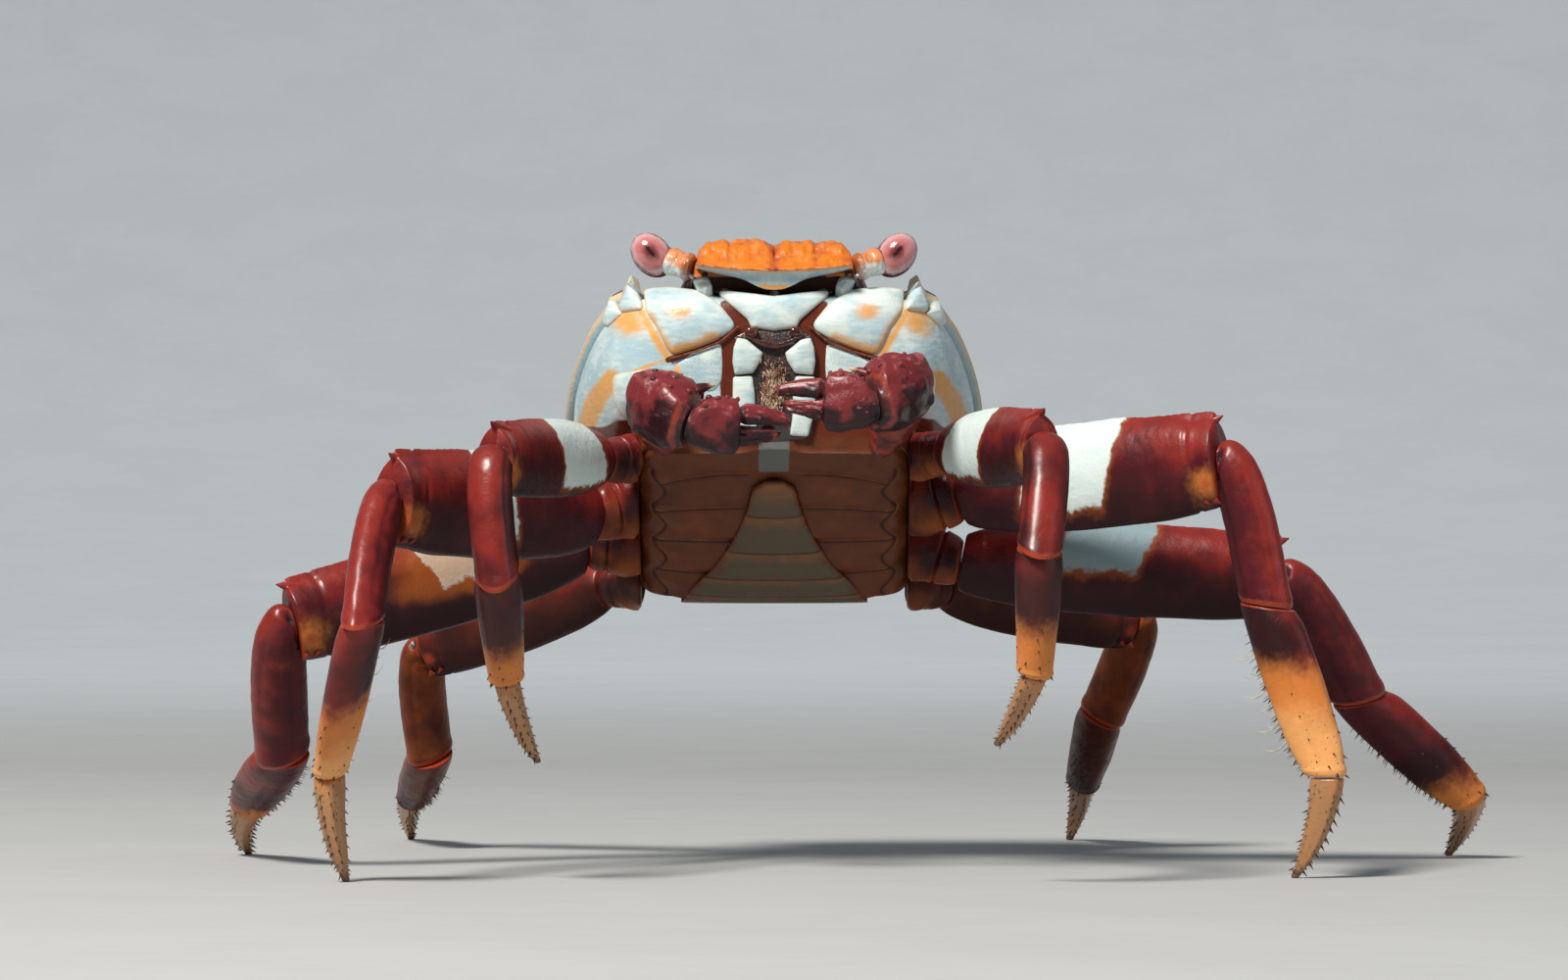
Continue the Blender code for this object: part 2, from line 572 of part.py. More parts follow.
def main():
    clear_scene()
    home = collection("sally_lightfoot_crab")
    materials = {
        "red": shell_material("red shell", SHELL_RED, 0.35),
        "orange": shell_material("orange shell", SHELL_ORANGE, 0.45),
        "blue": shell_material("pale blue shell", SHELL_BLUE, 0.35),
        "brown": shell_material("brown shell", SHELL_BROWN, 0.40),
        "purple": shell_material("purple shell", CLAW_PURPLE, 0.30),
        "eye": shell_material("eye", EYE_PINK, 0.08),
    }
    carapace(materials["red"], home)
    thorax(materials["blue"], home)
    abdomen(materials["brown"], home)
    for side_name in SIDES:
        eye(side_name, materials["eye"], home)
        eyestalk(side_name, materials["orange"], home)
        antenna(side_name, materials["blue"], home)
        maxilliped(side_name, materials["blue"], home)
        claw(side_name, materials, home)
        for number in range(len(LEG_LENGTHS)):
            leg(side_name, number, materials, home)


if __name__ == "__main__":
    main()
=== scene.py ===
"""Dresses the red rock crab's fixed frame in finished shell, eyes, spines and bristles, and sets its stage.

The crab faces -Y and its own left side is at +X. In the body's own frame a point is given across (to the crab's
left), along (to its front) and above (to its back), in shares of the carapace's width. The face is laid out on a
chart: across and up from the body's middle, in millimetres.
"""

import json
import math

import bpy
import numpy as np
from bpy.props import FloatProperty, FloatVectorProperty, IntProperty, PointerProperty
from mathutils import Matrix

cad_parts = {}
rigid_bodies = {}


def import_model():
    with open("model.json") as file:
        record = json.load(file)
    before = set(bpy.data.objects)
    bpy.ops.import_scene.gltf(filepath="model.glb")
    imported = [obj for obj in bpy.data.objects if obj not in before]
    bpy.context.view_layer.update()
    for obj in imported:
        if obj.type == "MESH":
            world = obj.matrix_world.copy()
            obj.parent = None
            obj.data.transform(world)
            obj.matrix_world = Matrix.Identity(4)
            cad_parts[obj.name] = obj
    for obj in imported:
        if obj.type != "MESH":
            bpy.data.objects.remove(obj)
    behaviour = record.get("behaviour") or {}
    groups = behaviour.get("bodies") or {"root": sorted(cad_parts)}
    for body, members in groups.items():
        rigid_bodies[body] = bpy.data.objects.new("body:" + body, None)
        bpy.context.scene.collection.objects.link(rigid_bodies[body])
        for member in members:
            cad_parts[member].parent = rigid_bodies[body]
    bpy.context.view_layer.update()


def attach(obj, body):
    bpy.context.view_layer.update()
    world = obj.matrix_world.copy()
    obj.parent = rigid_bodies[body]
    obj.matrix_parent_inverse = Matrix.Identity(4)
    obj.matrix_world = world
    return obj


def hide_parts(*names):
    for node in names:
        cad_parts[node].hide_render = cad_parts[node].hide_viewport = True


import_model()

bl_info = {
    "name": "Red rock crab dressing",
    "version": (1, 0, 0),
    "blender": (4, 5, 0),
    "location": "View3D > Sidebar > Crab",
    "description": "Finished shells, eyes, spines and bristles for the red rock crab frame",
    "category": "Object",
}

MM = 0.001
SIDES = {"right": -1, "left": 1}

# The frame's own sizes, in metres, degrees and shares of the carapace's width.
CARAPACE_WIDTH = 0.070
BODY_CENTRE = np.array([-0.0140, 0.0023, 0.0830])
BODY_PITCH = math.radians(42.0)
GAP = 0.0003
WIDEST_ALONG = -0.110
SIDE_REACH = 0.503
FRONT_ROUND = (0.780, 1.75)
REAR_ROUND = (0.370, 2.40)
REAR_MARGIN = -0.458
FRONT_HALF = 0.187
FRONT_MARGIN = (0.455, -0.135)
ORBIT_AND_TEETH = ((0.196, 0.385), (0.255, 0.350), (0.313, 0.362), (0.341, 0.396),
                   (0.360, 0.345), (0.388, 0.326), (0.396, 0.300))
SIDE_MARGIN_HEIGHT = -0.080
CROWN_HEIGHT = 0.055
SEAM_HEIGHT = -0.100
# Thorax from the seam down: height, flat front, flat rear, half width and squareness.
THORAX_LEVELS = np.array((
    (-0.104, 0.335, -0.430, 0.474, 1.8), (-0.118, 0.400, -0.434, 0.486, 1.8), (-0.155, 0.410, -0.436, 0.484, 1.8),
    (-0.210, 0.386, -0.436, 0.464, 1.9), (-0.265, 0.340, -0.432, 0.430, 2.1), (-0.312, 0.300, -0.426, 0.385, 2.6),
    (-0.345, 0.272, -0.415, 0.330, 5.0), (-0.400, 0.230, -0.372, 0.325, 8.0), (-0.440, 0.196, -0.328, 0.318, 8.0)))
THORAX_TOP, BELLY_HEIGHT = -THORAX_LEVELS[[0, -1], 0]
THORAX_CORNER = 9.0
ABDOMEN_PATH = np.array(((0.100, 0.016), (0.070, 0.048), (-0.010, 0.066), (-0.110, 0.098), (-0.210, 0.145),
                         (-0.300, 0.205), (-0.335, 0.215), (-0.385, 0.225), (-0.432, 0.225), (-0.448, 0.215),
                         (-0.448, 0.195)))
ABDOMEN_HEIGHTS = (0.0, 0.0, 0.0, 0.0, 0.0, 0.0, 0.008, 0.042, 0.092, 0.180, 0.300)
ABDOMEN_DEPTH = 0.020
EYE_PLACE = (0.287, 0.432, -0.036)
EYE_RADII = (0.058, 0.042)
EYE_TILT = math.radians(40.0)
STALK_ROOT = (0.203, 0.436, -0.078)
STALK_RADIUS = 0.033
FACE_FRONT = 0.4395

SEGMENTS = ("base", "merus", "carpus", "propodus", "dactyl")
LEG_LENGTHS = ((0.115, 0.53, 0.27, 0.29, 0.23), (0.115, 0.67, 0.35, 0.42, 0.25),
               (0.115, 0.76, 0.38, 0.41, 0.24), (0.115, 0.56, 0.31, 0.35, 0.23))
LEG_GIRTHS = ((0.090, 0.052, 0.052), (0.124, 0.062, 0.068), (0.110, 0.066, 0.066), (0.090, 0.057, 0.058))
# Thickness of each leg's last three segments, and its height, against the profiles below.
LEG_SHAPES = (((1.40, 1.60, 1.30), 0.86), ((1.0, 1.0, 1.0), 1.0), ((1.0, 1.0, 1.0), 1.0),
              ((1.50, 1.55, 1.25), 0.90))
HIPS_ALONG = (0.120, -0.040, -0.200, -0.335)
HIP_OUT = 0.336
HIP_HEIGHT = -0.400
# Azimuth and elevation of each segment; None falls to the floor.
LEG_POSES = {
    "right": (((56, -2), (64, 0), (98, -74), (-95, -57), (-122, -56)),
              ((32, -10), (49, 2.5), (76, -51), (-67, None), (-150, -80)),
              ((3, 6), (23, -14), (-80, -56), (-73, None), (-86, -32)),
              ((-54, -1), (-34, -16), (-88, -61), (-79, None), (-86, -31))),
    "left": (((50, 8), (68, 1), (95, -58), (-99, -80), (-120, -45)),
             ((15, 14), (27, 6), (27, -71), (22, None), (-150, -70)),
             ((4, -16), (5, -3), (-36, -49), (-30, None), (-101, -38)),
             ((-50, -3), (-33, -8), (-110, -53), (-96, None), (-99, -42))),
}
ELBOW_REACH = 0.050
DACTYL_SAG = 0.22
FACE_REACH = 0.22
CLAW_ROOT = (0.258, -0.165)
CLAW_LENGTHS = (0.210, 0.155, 0.110, 0.115)
CLAW_GIRTHS = (0.062, 0.083, 0.070, 0.066)
CLAW_POSES = {"right": ((80, 25), (134, -24), (191, -2), (188, -1)),
              "left": ((70, 35), (126, -18), (191, 3), (187, 5))}
WRIST_SPINE = 0.045
# Profiles: how far along, half height above, half height below and half thickness, in shares of a girth.
BASE = ((0.0, 0.25, 0.55, 0.85, 1.0), (0.50, 0.60, 0.64, 0.58, 0.50), (0.50, 0.60, 0.64, 0.58, 0.50),
        (0.38, 0.42, 0.46, 0.46, 0.42))
MERUS = ((0.0, 0.05, 0.20, 0.50, 0.78, 0.93, 1.0), (0.62, 0.74, 0.90, 1.00, 0.96, 0.84, 0.76),
         (0.60, 0.72, 0.88, 0.98, 0.96, 0.88, 0.76), (0.44, 0.50, 0.50, 0.46, 0.44, 0.46, 0.46))
CARPUS = ((0.0, 0.10, 0.28, 0.55, 0.80, 1.0), (0.66, 0.82, 0.96, 1.00, 1.02, 0.97),
          (0.64, 0.74, 0.86, 0.98, 1.02, 0.97), (0.58, 0.66, 0.72, 0.72, 0.72, 0.68))
PROPODUS = ((0.0, 0.12, 0.35, 0.62, 0.86, 1.0), (0.86, 0.98, 1.04, 1.00, 0.84, 0.66),
            (0.86, 0.96, 1.02, 0.98, 0.86, 0.70), (0.62, 0.66, 0.64, 0.58, 0.52, 0.48))
DACTYL = ((0.0, 0.10, 0.35, 0.65, 0.88, 1.0), (0.56, 0.58, 0.50, 0.36, 0.20, 0.12),
          (0.56, 0.56, 0.44, 0.30, 0.18, 0.12), (0.42, 0.42, 0.36, 0.27, 0.17, 0.12))
ARM = ((0.0, 0.30, 0.65, 1.0), (0.70, 0.92, 1.00, 0.86), (0.70, 0.94, 1.04, 0.90), (0.60, 0.72, 0.78, 0.72))
WRIST = ((0.0, 0.16, 0.38, 0.62, 0.85, 1.0), (0.66, 0.92, 1.06, 1.06, 0.90, 0.62),
         (0.66, 0.86, 0.98, 1.00, 0.86, 0.62), (0.62, 0.86, 0.98, 0.96, 0.84, 0.62))
PALM_LENGTH_SHARE = 0.52
PALM = ((0.0, 0.12, 0.32, 0.50, 0.53, 0.62, 0.80, 0.94, 1.0),
        (0.60, 0.84, 1.00, 0.92, 0.26, 0.22, 0.18, 0.14, 0.08),
        (0.60, 0.82, 0.98, 0.92, 0.42, 0.36, 0.28, 0.22, 0.12),
        (0.52, 0.62, 0.70, 0.64, 0.42, 0.38, 0.32, 0.30, 0.18),
        (0.0, 0.0, 0.0, 0.0, 0.26, 0.26, 0.23, 0.18, 0.14))
FINGER = ((0.0, 0.12, 0.40, 0.70, 0.92, 1.0), (0.40, 0.46, 0.42, 0.34, 0.24, 0.12),
          (0.26, 0.28, 0.22, 0.16, 0.14, 0.08), (0.42, 0.44, 0.38, 0.34, 0.30, 0.16))
FINGER_START = 0.542
FINGER_LIFT = 0.32


# ---------------------------------------------------------------- curves, noise and skins

def unit(vector):
    """The vector, or each row of vectors, divided by its length."""
    vector = np.asarray(vector, float)
    return vector / np.linalg.norm(vector, axis=-1, keepdims=True)


def eased(value, low, high):
    """0 below low, 1 above high and 3t^2 - 2t^3 between."""
    share = np.clip((value - low) / (high - low), 0, 1)
    return share * share * (3 - 2 * share)


def bell(distance, width, power=2):
    """1 at no distance, falling away as exp(-(distance / width)^power)."""
    return np.exp(-(distance / width) ** power)


def once_round(count):
    """Even steps once round, as angles."""
    return np.arange(count) * 2 * math.pi / count


def through(spots, at, values):
    """A smooth curve through the values given at some places: cubic pieces whose slope at each place is the
    harmonic mean of its neighbours' slopes, or nought at a turning point, so that it never overshoots."""
    at, values = np.asarray(at, float), np.asarray(values, float)
    run = np.diff(at)
    slope = np.diff(values) / run
    tangent = np.zeros_like(values)
    rising = slope[1:] * slope[:-1] > 0
    tangent[1:-1][rising] = (2 * slope[1:] * slope[:-1] / np.where(rising, slope[1:] + slope[:-1], 1))[rising]
    tangent[0], tangent[-1] = slope[0], slope[-1]
    k = np.clip(np.searchsorted(at, spots, side="right") - 1, 0, len(at) - 2)
    t = np.clip((spots - at[k]) / run[k], 0, 1)
    return ((1 + 2 * t) * (1 - t) ** 2 * values[k] + t * (1 - t) ** 2 * run[k] * tangent[k]
            + t * t * (3 - 2 * t) * values[k + 1] + t * t * (t - 1) * run[k] * tangent[k + 1])


# Whole numbers that scatter a lattice's corners, and how far apart the seeds' lattices lie.
LATTICE, SCATTER, SEED_STEP = (73856093, 19349663, 83492791), 1274126177, 31.7


def noise(points, cell, seed):
    """Smooth noise from -1 to 1: a random number at every corner of a lattice of cells, blended between the eight
    corners round each point with the eased weights 3t^2 - 2t^3."""
    place = np.asarray(points, float) / cell + SEED_STEP * seed
    corner = np.floor(place).astype(np.int64)
    part = place - corner
    part = part * part * (3 - 2 * part)
    total = np.zeros(place.shape[:-1])
    for step in np.ndindex(2, 2, 2):
        key = ((corner + step) * LATTICE).sum(-1) & 0x7FFFFFFF
        key = (key ^ (key >> 13)) * SCATTER & 0x7FFFFFFF
        key = (key ^ (key >> 16)) & 0xFFFF
        total += np.prod(np.where(step, part, 1 - part), -1) * (key / 32767.5 - 1)
    return total


def tube(rings, **marks):
    """A closed skin over rings[k, j]: a quad between each two neighbouring points of neighbouring rings, and a fan
    from the middle of each end ring. Each mark is a number for every point of the rings."""
    count, around = rings.shape[:2]
    points = np.concatenate([rings.reshape(-1, 3), rings[[0, -1]].mean(1)])
    here = np.arange((count - 1) * around).reshape(-1, around)
    beside = np.roll(here, -1, 1)
    quads = np.stack([here, beside, beside + around, here + around], -1).reshape(-1, 4)
    ends = []
    for middle, ring in ((count * around, np.arange(around)[::-1]), (count * around + 1, here[-1] + around)):
        ends.append(np.stack([np.full(around, middle), ring, np.roll(ring, -1)], 1))
    spread = {name: np.broadcast_to(mark, (count, around)) for name, mark in marks.items()}
    return points, quads, np.concatenate(ends), {
        name: np.append(mark, mark[[0, -1]].mean(1)) for name, mark in spread.items()}


def marked(skin, **marks):
    """The skin with more marks, each one number for all its points or a number for each."""
    return skin[:3] + ({**skin[3], **{name: np.broadcast_to(mark, len(skin[0])) for name, mark in marks.items()}},)


SPIKE = ((0.0, 1.0), (0.25, 0.82), (0.5, 0.60), (0.78, 0.32), (0.97, 0.06))
BEAD = ((0.0, 0.35), (0.2, 0.80), (0.5, 1.0), (0.8, 0.80), (1.0, 0.35))
BRISTLE = ((0.0, 1.0), (0.25, 0.85), (0.5, 0.68), (0.78, 0.45), (0.99, 0.12))


def studs(roots, tips, radii, shape, bend=(0, 0, 0), sides=6):
    """Many small spines, beads or bristles: on each, rings of the shape's widths lie on the way from root to tip,
    and their middles leave the straight line by the bend times 4t(1 - t)."""
    roots, tips = np.atleast_2d(roots), np.atleast_2d(tips)
    radii = np.broadcast_to(radii, len(roots))
    axis = tips - roots
    first = unit(np.cross(axis, (0.31, 0.52, 0.79)))
    second = unit(np.cross(axis, first))
    t, wide = np.array(shape).T
    turn = np.arange(sides) * 2 * math.pi / sides
    middle = (roots[:, None] + axis[:, None] * t[:, None]
              + np.broadcast_to(bend, roots.shape)[:, None] * (4 * t * (1 - t))[:, None])
    around = np.cos(turn)[:, None] * first[:, None] + np.sin(turn)[:, None] * second[:, None]
    rings = middle[:, :, None] + (radii[:, None] * wide)[:, :, None, None] * around[:, None]
    one = tube(rings[0])
    points = np.concatenate([rings.reshape(len(rings), -1, 3), rings[:, [0, -1]].mean(2)], 1).reshape(-1, 3)
    shift = np.arange(len(rings))[:, None, None] * len(one[0])
    along = np.append(np.repeat(t, sides), [t[0], t[-1]])
    return (points, (one[1] + shift).reshape(-1, 4), (one[2] + shift).reshape(-1, 3),
            {"tip": np.tile(along, len(rings))})


def outwards(skin):
    """The skin with its faces turned outwards: they're turned round if its volume by the fans is negative."""
    points, quads, threes, marks = skin
    corners = np.concatenate([threes, quads[:, :3], quads[:, [0, 2, 3]]])
    a, b, c = (points[corners[:, k]] - points.mean(0) for k in range(3))
    if (np.cross(a, b) * c).sum() < 0:
        quads, threes = quads[:, ::-1], threes[:, ::-1]
    return points, quads, threes, marks


def placed(name, data):
    """A new object in the scene."""
    made = bpy.data.objects.new(name, data)
    bpy.context.scene.collection.objects.link(made)
    return made


def piece(name, skins, material, nodes, slot, crease=50):
    """One object from closed skins, sharp where its faces meet at more than the crease in degrees. It rides on the
    body and takes the place of the frame's nodes."""
    skins = [outwards(skin) for skin in skins]
    starts = np.cumsum([0] + [len(skin[0]) for skin in skins])
    points = np.concatenate([skin[0] for skin in skins])
    quads = np.concatenate([skin[1] + start for skin, start in zip(skins, starts)])
    threes = np.concatenate([skin[2] + start for skin, start in zip(skins, starts)])
    mesh = bpy.data.meshes.new(name)
    mesh.vertices.add(len(points))
    mesh.vertices.foreach_set("co", points.astype(np.float32).ravel())
    mesh.loops.add(quads.size + threes.size)
    mesh.loops.foreach_set("vertex_index", np.append(quads.ravel(), threes.ravel()).astype(np.int32))
    mesh.polygons.add(len(quads) + len(threes))
    first = np.append(np.arange(len(quads)) * 4, quads.size + np.arange(len(threes)) * 3)
    mesh.polygons.foreach_set("loop_start", first.astype(np.int32))
    for mark in sorted({key for skin in skins for key in skin[3]}):
        values = np.concatenate([skin[3].get(mark, np.zeros(len(skin[0]))) for skin in skins])
        mesh.attributes.new(mark, "FLOAT", "POINT").data.foreach_set("value", values.astype(np.float32))
    mesh.update(calc_edges=True)
    mesh.validate()
    mesh.shade_smooth()
    mesh.set_sharp_from_angle(angle=math.radians(crease))
    mesh.materials.append(material)
    made = placed(name, mesh)
    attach(made, "root")
    if nodes:
        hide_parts(*nodes)


# ---------------------------------------------------------------- the frame's own shapes

def direction(side, azimuth, elevation):
    """The way out from the body on one side, turned towards the front and raised."""
    turn, rise = math.radians(azimuth), math.radians(elevation)
    return np.array([side * math.cos(turn) * math.cos(rise), -math.sin(turn) * math.cos(rise), math.sin(rise)])


def body_point(across, along, above):
    """Points of the body's own frame, in metres over the floor: turned up by the pitch about the body's middle."""
    across, along, above = np.broadcast_arrays(across, along, above)
    back = above * math.sin(BODY_PITCH) - along * math.cos(BODY_PITCH)
    up = along * math.sin(BODY_PITCH) + above * math.cos(BODY_PITCH)
    return np.stack([across, back, up], -1) * CARAPACE_WIDTH + BODY_CENTRE


def turned(frame_now, axis):
    """The frame (axis, up, front) turned by the least angle that brings its axis to a new one."""
    old, new = frame_now[0], unit(axis)
    hinge = np.cross(old, new)
    sine, cosine = np.linalg.norm(hinge), float(old @ new)
    if sine < 1e-6:
        return np.array([new, frame_now[1], frame_now[2]])
    hinge = hinge / sine
    return np.array([new] + [arm * cosine + np.cross(hinge, arm) * sine + hinge * (hinge @ arm) * (1 - cosine)
                             for arm in frame_now[1:]])


def upright_frame(axis):
    """Axis, the way across it that rises most, and the third way."""
    front = unit(np.cross(axis, (0, 0, 1)))
    return np.array([axis, np.cross(front, axis), front])


def thorax_reach(turns, heights):
    """How far the thorax reaches from its middle line: a superellipse of the level's half width and the front's or
    the rear's reach, cut off by the level's flat front or rear with a corner of power 9."""
    _, front, rear, half_width, square = (through(heights, -THORAX_LEVELS[:, 0], THORAX_LEVELS[:, k])
                                          for k in range(5))
    ahead = np.cos(turns) > 0
    reach = np.where(ahead, FRONT_ROUND[0], REAR_ROUND[0] + 0.05)
    side = (np.abs(np.sin(turns) / half_width) ** square + np.abs(np.cos(turns) / reach) ** square) ** (1 / square)
    flat = np.abs(np.cos(turns)) / np.where(ahead, front - WIDEST_ALONG, WIDEST_ALONG - rear)
    return (side**THORAX_CORNER + flat**THORAX_CORNER) ** (-1 / THORAX_CORNER)


FACE_STEP = 0.3
FACE_ACROSS = np.arange(0, 38, FACE_STEP)
FACE_UP = np.arange(-18, 19, FACE_STEP)


def face_table():
    """Where the thorax's front lies behind a grid of chart points, in millimetres: the first place inside it on
    the way back, carried on upwards and sideways past its edges at a slope of a half and of two, then blurred."""
    width = CARAPACE_WIDTH / MM
    x, z, back = np.meshgrid(FACE_ACROSS / width, FACE_UP / width, np.linspace(-0.60, 0.0, 241), indexing="ij")
    along = z * math.sin(BODY_PITCH) - back * math.cos(BODY_PITCH)
    above = z * math.cos(BODY_PITCH) + back * math.sin(BODY_PITCH)
    ahead = along - WIDEST_ALONG
    spare = thorax_reach(np.arctan2(x, ahead), np.clip(-above, THORAX_TOP, BELLY_HEIGHT)) - np.hypot(x, ahead)
    spare = np.minimum(spare, np.minimum(above + BELLY_HEIGHT, SEAM_HEIGHT - above))
    found = spare > 0
    first = np.maximum(found.argmax(2), 1)[..., None]
    near, far = (np.take_along_axis(spare, first - k, 2)[..., 0] for k in (1, 0))
    back = back[0, 0]
    depth = back[first[..., 0]] - (back[1] - back[0]) * far / np.where(far == near, 1, far - near)
    depth = np.where(found.any(2), depth * width, np.nan)
    for k in range(1, len(FACE_UP)):
        depth[:, k] = np.where(np.isnan(depth[:, k]), depth[:, k - 1] + FACE_STEP * 0.5, depth[:, k])
    for k in range(1, len(FACE_ACROSS)):
        depth[k] = np.where(np.isnan(depth[k]), depth[k - 1] + FACE_STEP * 2.0, depth[k])
    depth = np.maximum.accumulate(np.where(np.isnan(depth), -25.0, depth), 0)
    for axis in (0, 1, 0, 1):
        padded = np.concatenate([np.take(depth, [0], axis), depth, np.take(depth, [-1], axis)], axis)
        depth = sum(np.take(padded, np.arange(depth.shape[axis]) + k, axis) for k in range(3)) / 3
    return depth


FACE_TABLE = face_table()


def face_depth(across, up):
    """The way back to the face behind chart points, in millimetres: the table, blended between four places."""
    u = np.clip(np.abs(across) / FACE_STEP, 0, len(FACE_ACROSS) - 1.001)
    v = np.clip((up - FACE_UP[0]) / FACE_STEP, 0, len(FACE_UP) - 1.001)
    i, k = u.astype(int), v.astype(int)
    u, v = u - i, v - k
    return ((1 - u) * ((1 - v) * FACE_TABLE[i, k] + v * FACE_TABLE[i, k + 1])
            + u * ((1 - v) * FACE_TABLE[i + 1, k] + v * FACE_TABLE[i + 1, k + 1]))


def on_face(side, across, up, lift):
    """Points lifted off the face: chart points taken back to the thorax and then forwards along its slope."""
    step = 0.6
    depth = face_depth(across, up)
    lean = (face_depth(across + step, up) - face_depth(across - step, up)) / (2 * step)
    rise = (face_depth(across, up + step) - face_depth(across, up - step)) / (2 * step)
    lean, rise = np.clip(lean, -2, 2), np.clip(rise, -2, 2)
    size = np.sqrt(1 + lean**2 + rise**2)
    x, z = across + lift * lean / size, up + lift * rise / size
    return BODY_CENTRE + np.stack([side * x, depth - lift / size, z], -1) * MM


def outline(corners, count, roundness):
    """Points round a closed outline: even steps along its edges, then blurred twice by the roundness, which is in
    millimetres."""
    corners = np.array(corners, float)
    closed = np.concatenate([corners, corners[:1]])
    far = np.append(0, np.cumsum(np.linalg.norm(np.diff(closed, axis=0), axis=1)))
    spots = np.linspace(0, far[-1], count, endpoint=False)
    ring = np.stack([np.interp(spots, far, closed[:, k]) for k in (0, 1)], 1)
    reach = max(1, int(roundness * count / far[-1]))
    for _ in range(2):
        ring = sum(np.roll(ring, shift, 0) for shift in range(-reach, reach + 1)) / (2 * reach + 1)
    return ring


def plate(side, corners, height, base, count, levels, roundness, edge, sunk=0.9):
    """A raised plate on the face: its outline shrunk towards its middle by r in steps, each standing over the base
    by the height times the root of 1 - r^edge, closed by a back that is sunk behind the face."""
    ring = outline(corners, count, roundness)
    middle = ring.mean(0)
    r = np.concatenate([[0.985], np.sin(np.linspace(math.pi / 2, 0.06, levels))])
    spread = middle + (ring - middle) * r[:, None, None]
    lift = base + height * (1 - r**edge) ** 0.5
    lift[0] = -sunk
    return tube(on_face(side, spread[..., 0], spread[..., 1], lift[:, None]), rim=r[:, None])


def chart(points):
    """Across and up of points on the face's chart, in millimetres."""
    place = (points - BODY_CENTRE) / MM
    return np.abs(place[..., 0]), place[..., 2]


def from_line(x, z, places):
    """Distance of chart points from the nearest of the straight lines that join some places."""
    near = np.full(np.shape(x), 99.0)
    for (x0, z0), (x1, z1) in zip(places, places[1:]):
        share = np.clip(((x - x0) * (x1 - x0) + (z - z0) * (z1 - z0)) / ((x1 - x0) ** 2 + (z1 - z0) ** 2), 0, 1)
        near = np.minimum(near, np.hypot(x - x0 - share * (x1 - x0), z - z0 - share * (z1 - z0)))
    return near


# How far a limb's rings keep inside its end planes: per distance along, at most in girths, and up to where.
INSIDE_SLOPE, INSIDE_MOST, INSIDE_REACH = 0.4, 0.1, 0.3


def limb_rings(path, frames, profile, spots, girth, planes, bulge, pinch=1.0):
    """Rings along a path, each an ellipse with unlike upper and lower halves, its sides as |cos|^pinch. The first
    and last lie in the planes shared with the neighbours, and the others near them keep inside by some of their
    distance. The bulge, in girths for every point, moves the skin outwards."""
    frames = np.broadcast_to(frames, (len(spots), 3, 3))
    upper, lower, thickness = (through(spots, profile[0], row)[:, None] * girth for row in profile[1:4])
    angle = once_round(bulge.shape[1])
    high, wide = np.sin(angle), np.cos(angle)
    rise = np.where(high > 0, upper, lower) * high + bulge * girth * high
    fore = thickness * np.sign(wide) * np.abs(wide) ** pinch + bulge * girth * wide
    offsets = rise[..., None] * frames[:, None, 1] + fore[..., None] * frames[:, None, 2]
    axes = frames[:, None, 0]
    for plane, distance in ((planes[0], spots), (planes[1], 1 - spots)):
        share = np.clip(1 - distance / FACE_REACH, 0, 1)[:, None, None]
        offsets = offsets - share * ((offsets @ plane) / (axes @ plane))[..., None] * axes
    rings = path[:, None] + offsets
    for plane, anchor, way, distance in ((planes[0], path[0], frames[0, 0], spots),
                                         (planes[1], path[-1], -frames[-1, 0], 1 - spots)):
        inwards = plane * np.sign(plane @ way)
        wanted = np.minimum(distance * INSIDE_SLOPE, INSIDE_MOST)[:, None] * girth
        lacking = np.maximum(0, wanted - (rings - anchor) @ inwards) * (distance < INSIDE_REACH)[:, None]
        rings = rings + lacking[..., None] * inwards
    return rings


# ---------------------------------------------------------------- finishes

def colour_value(colour):
    """A colour and its alpha, from one of the crab's own colours by its name or from three numbers."""
    return (*(getattr(bpy.context.scene.crab_hues, colour) if isinstance(colour, str) else colour), 1)


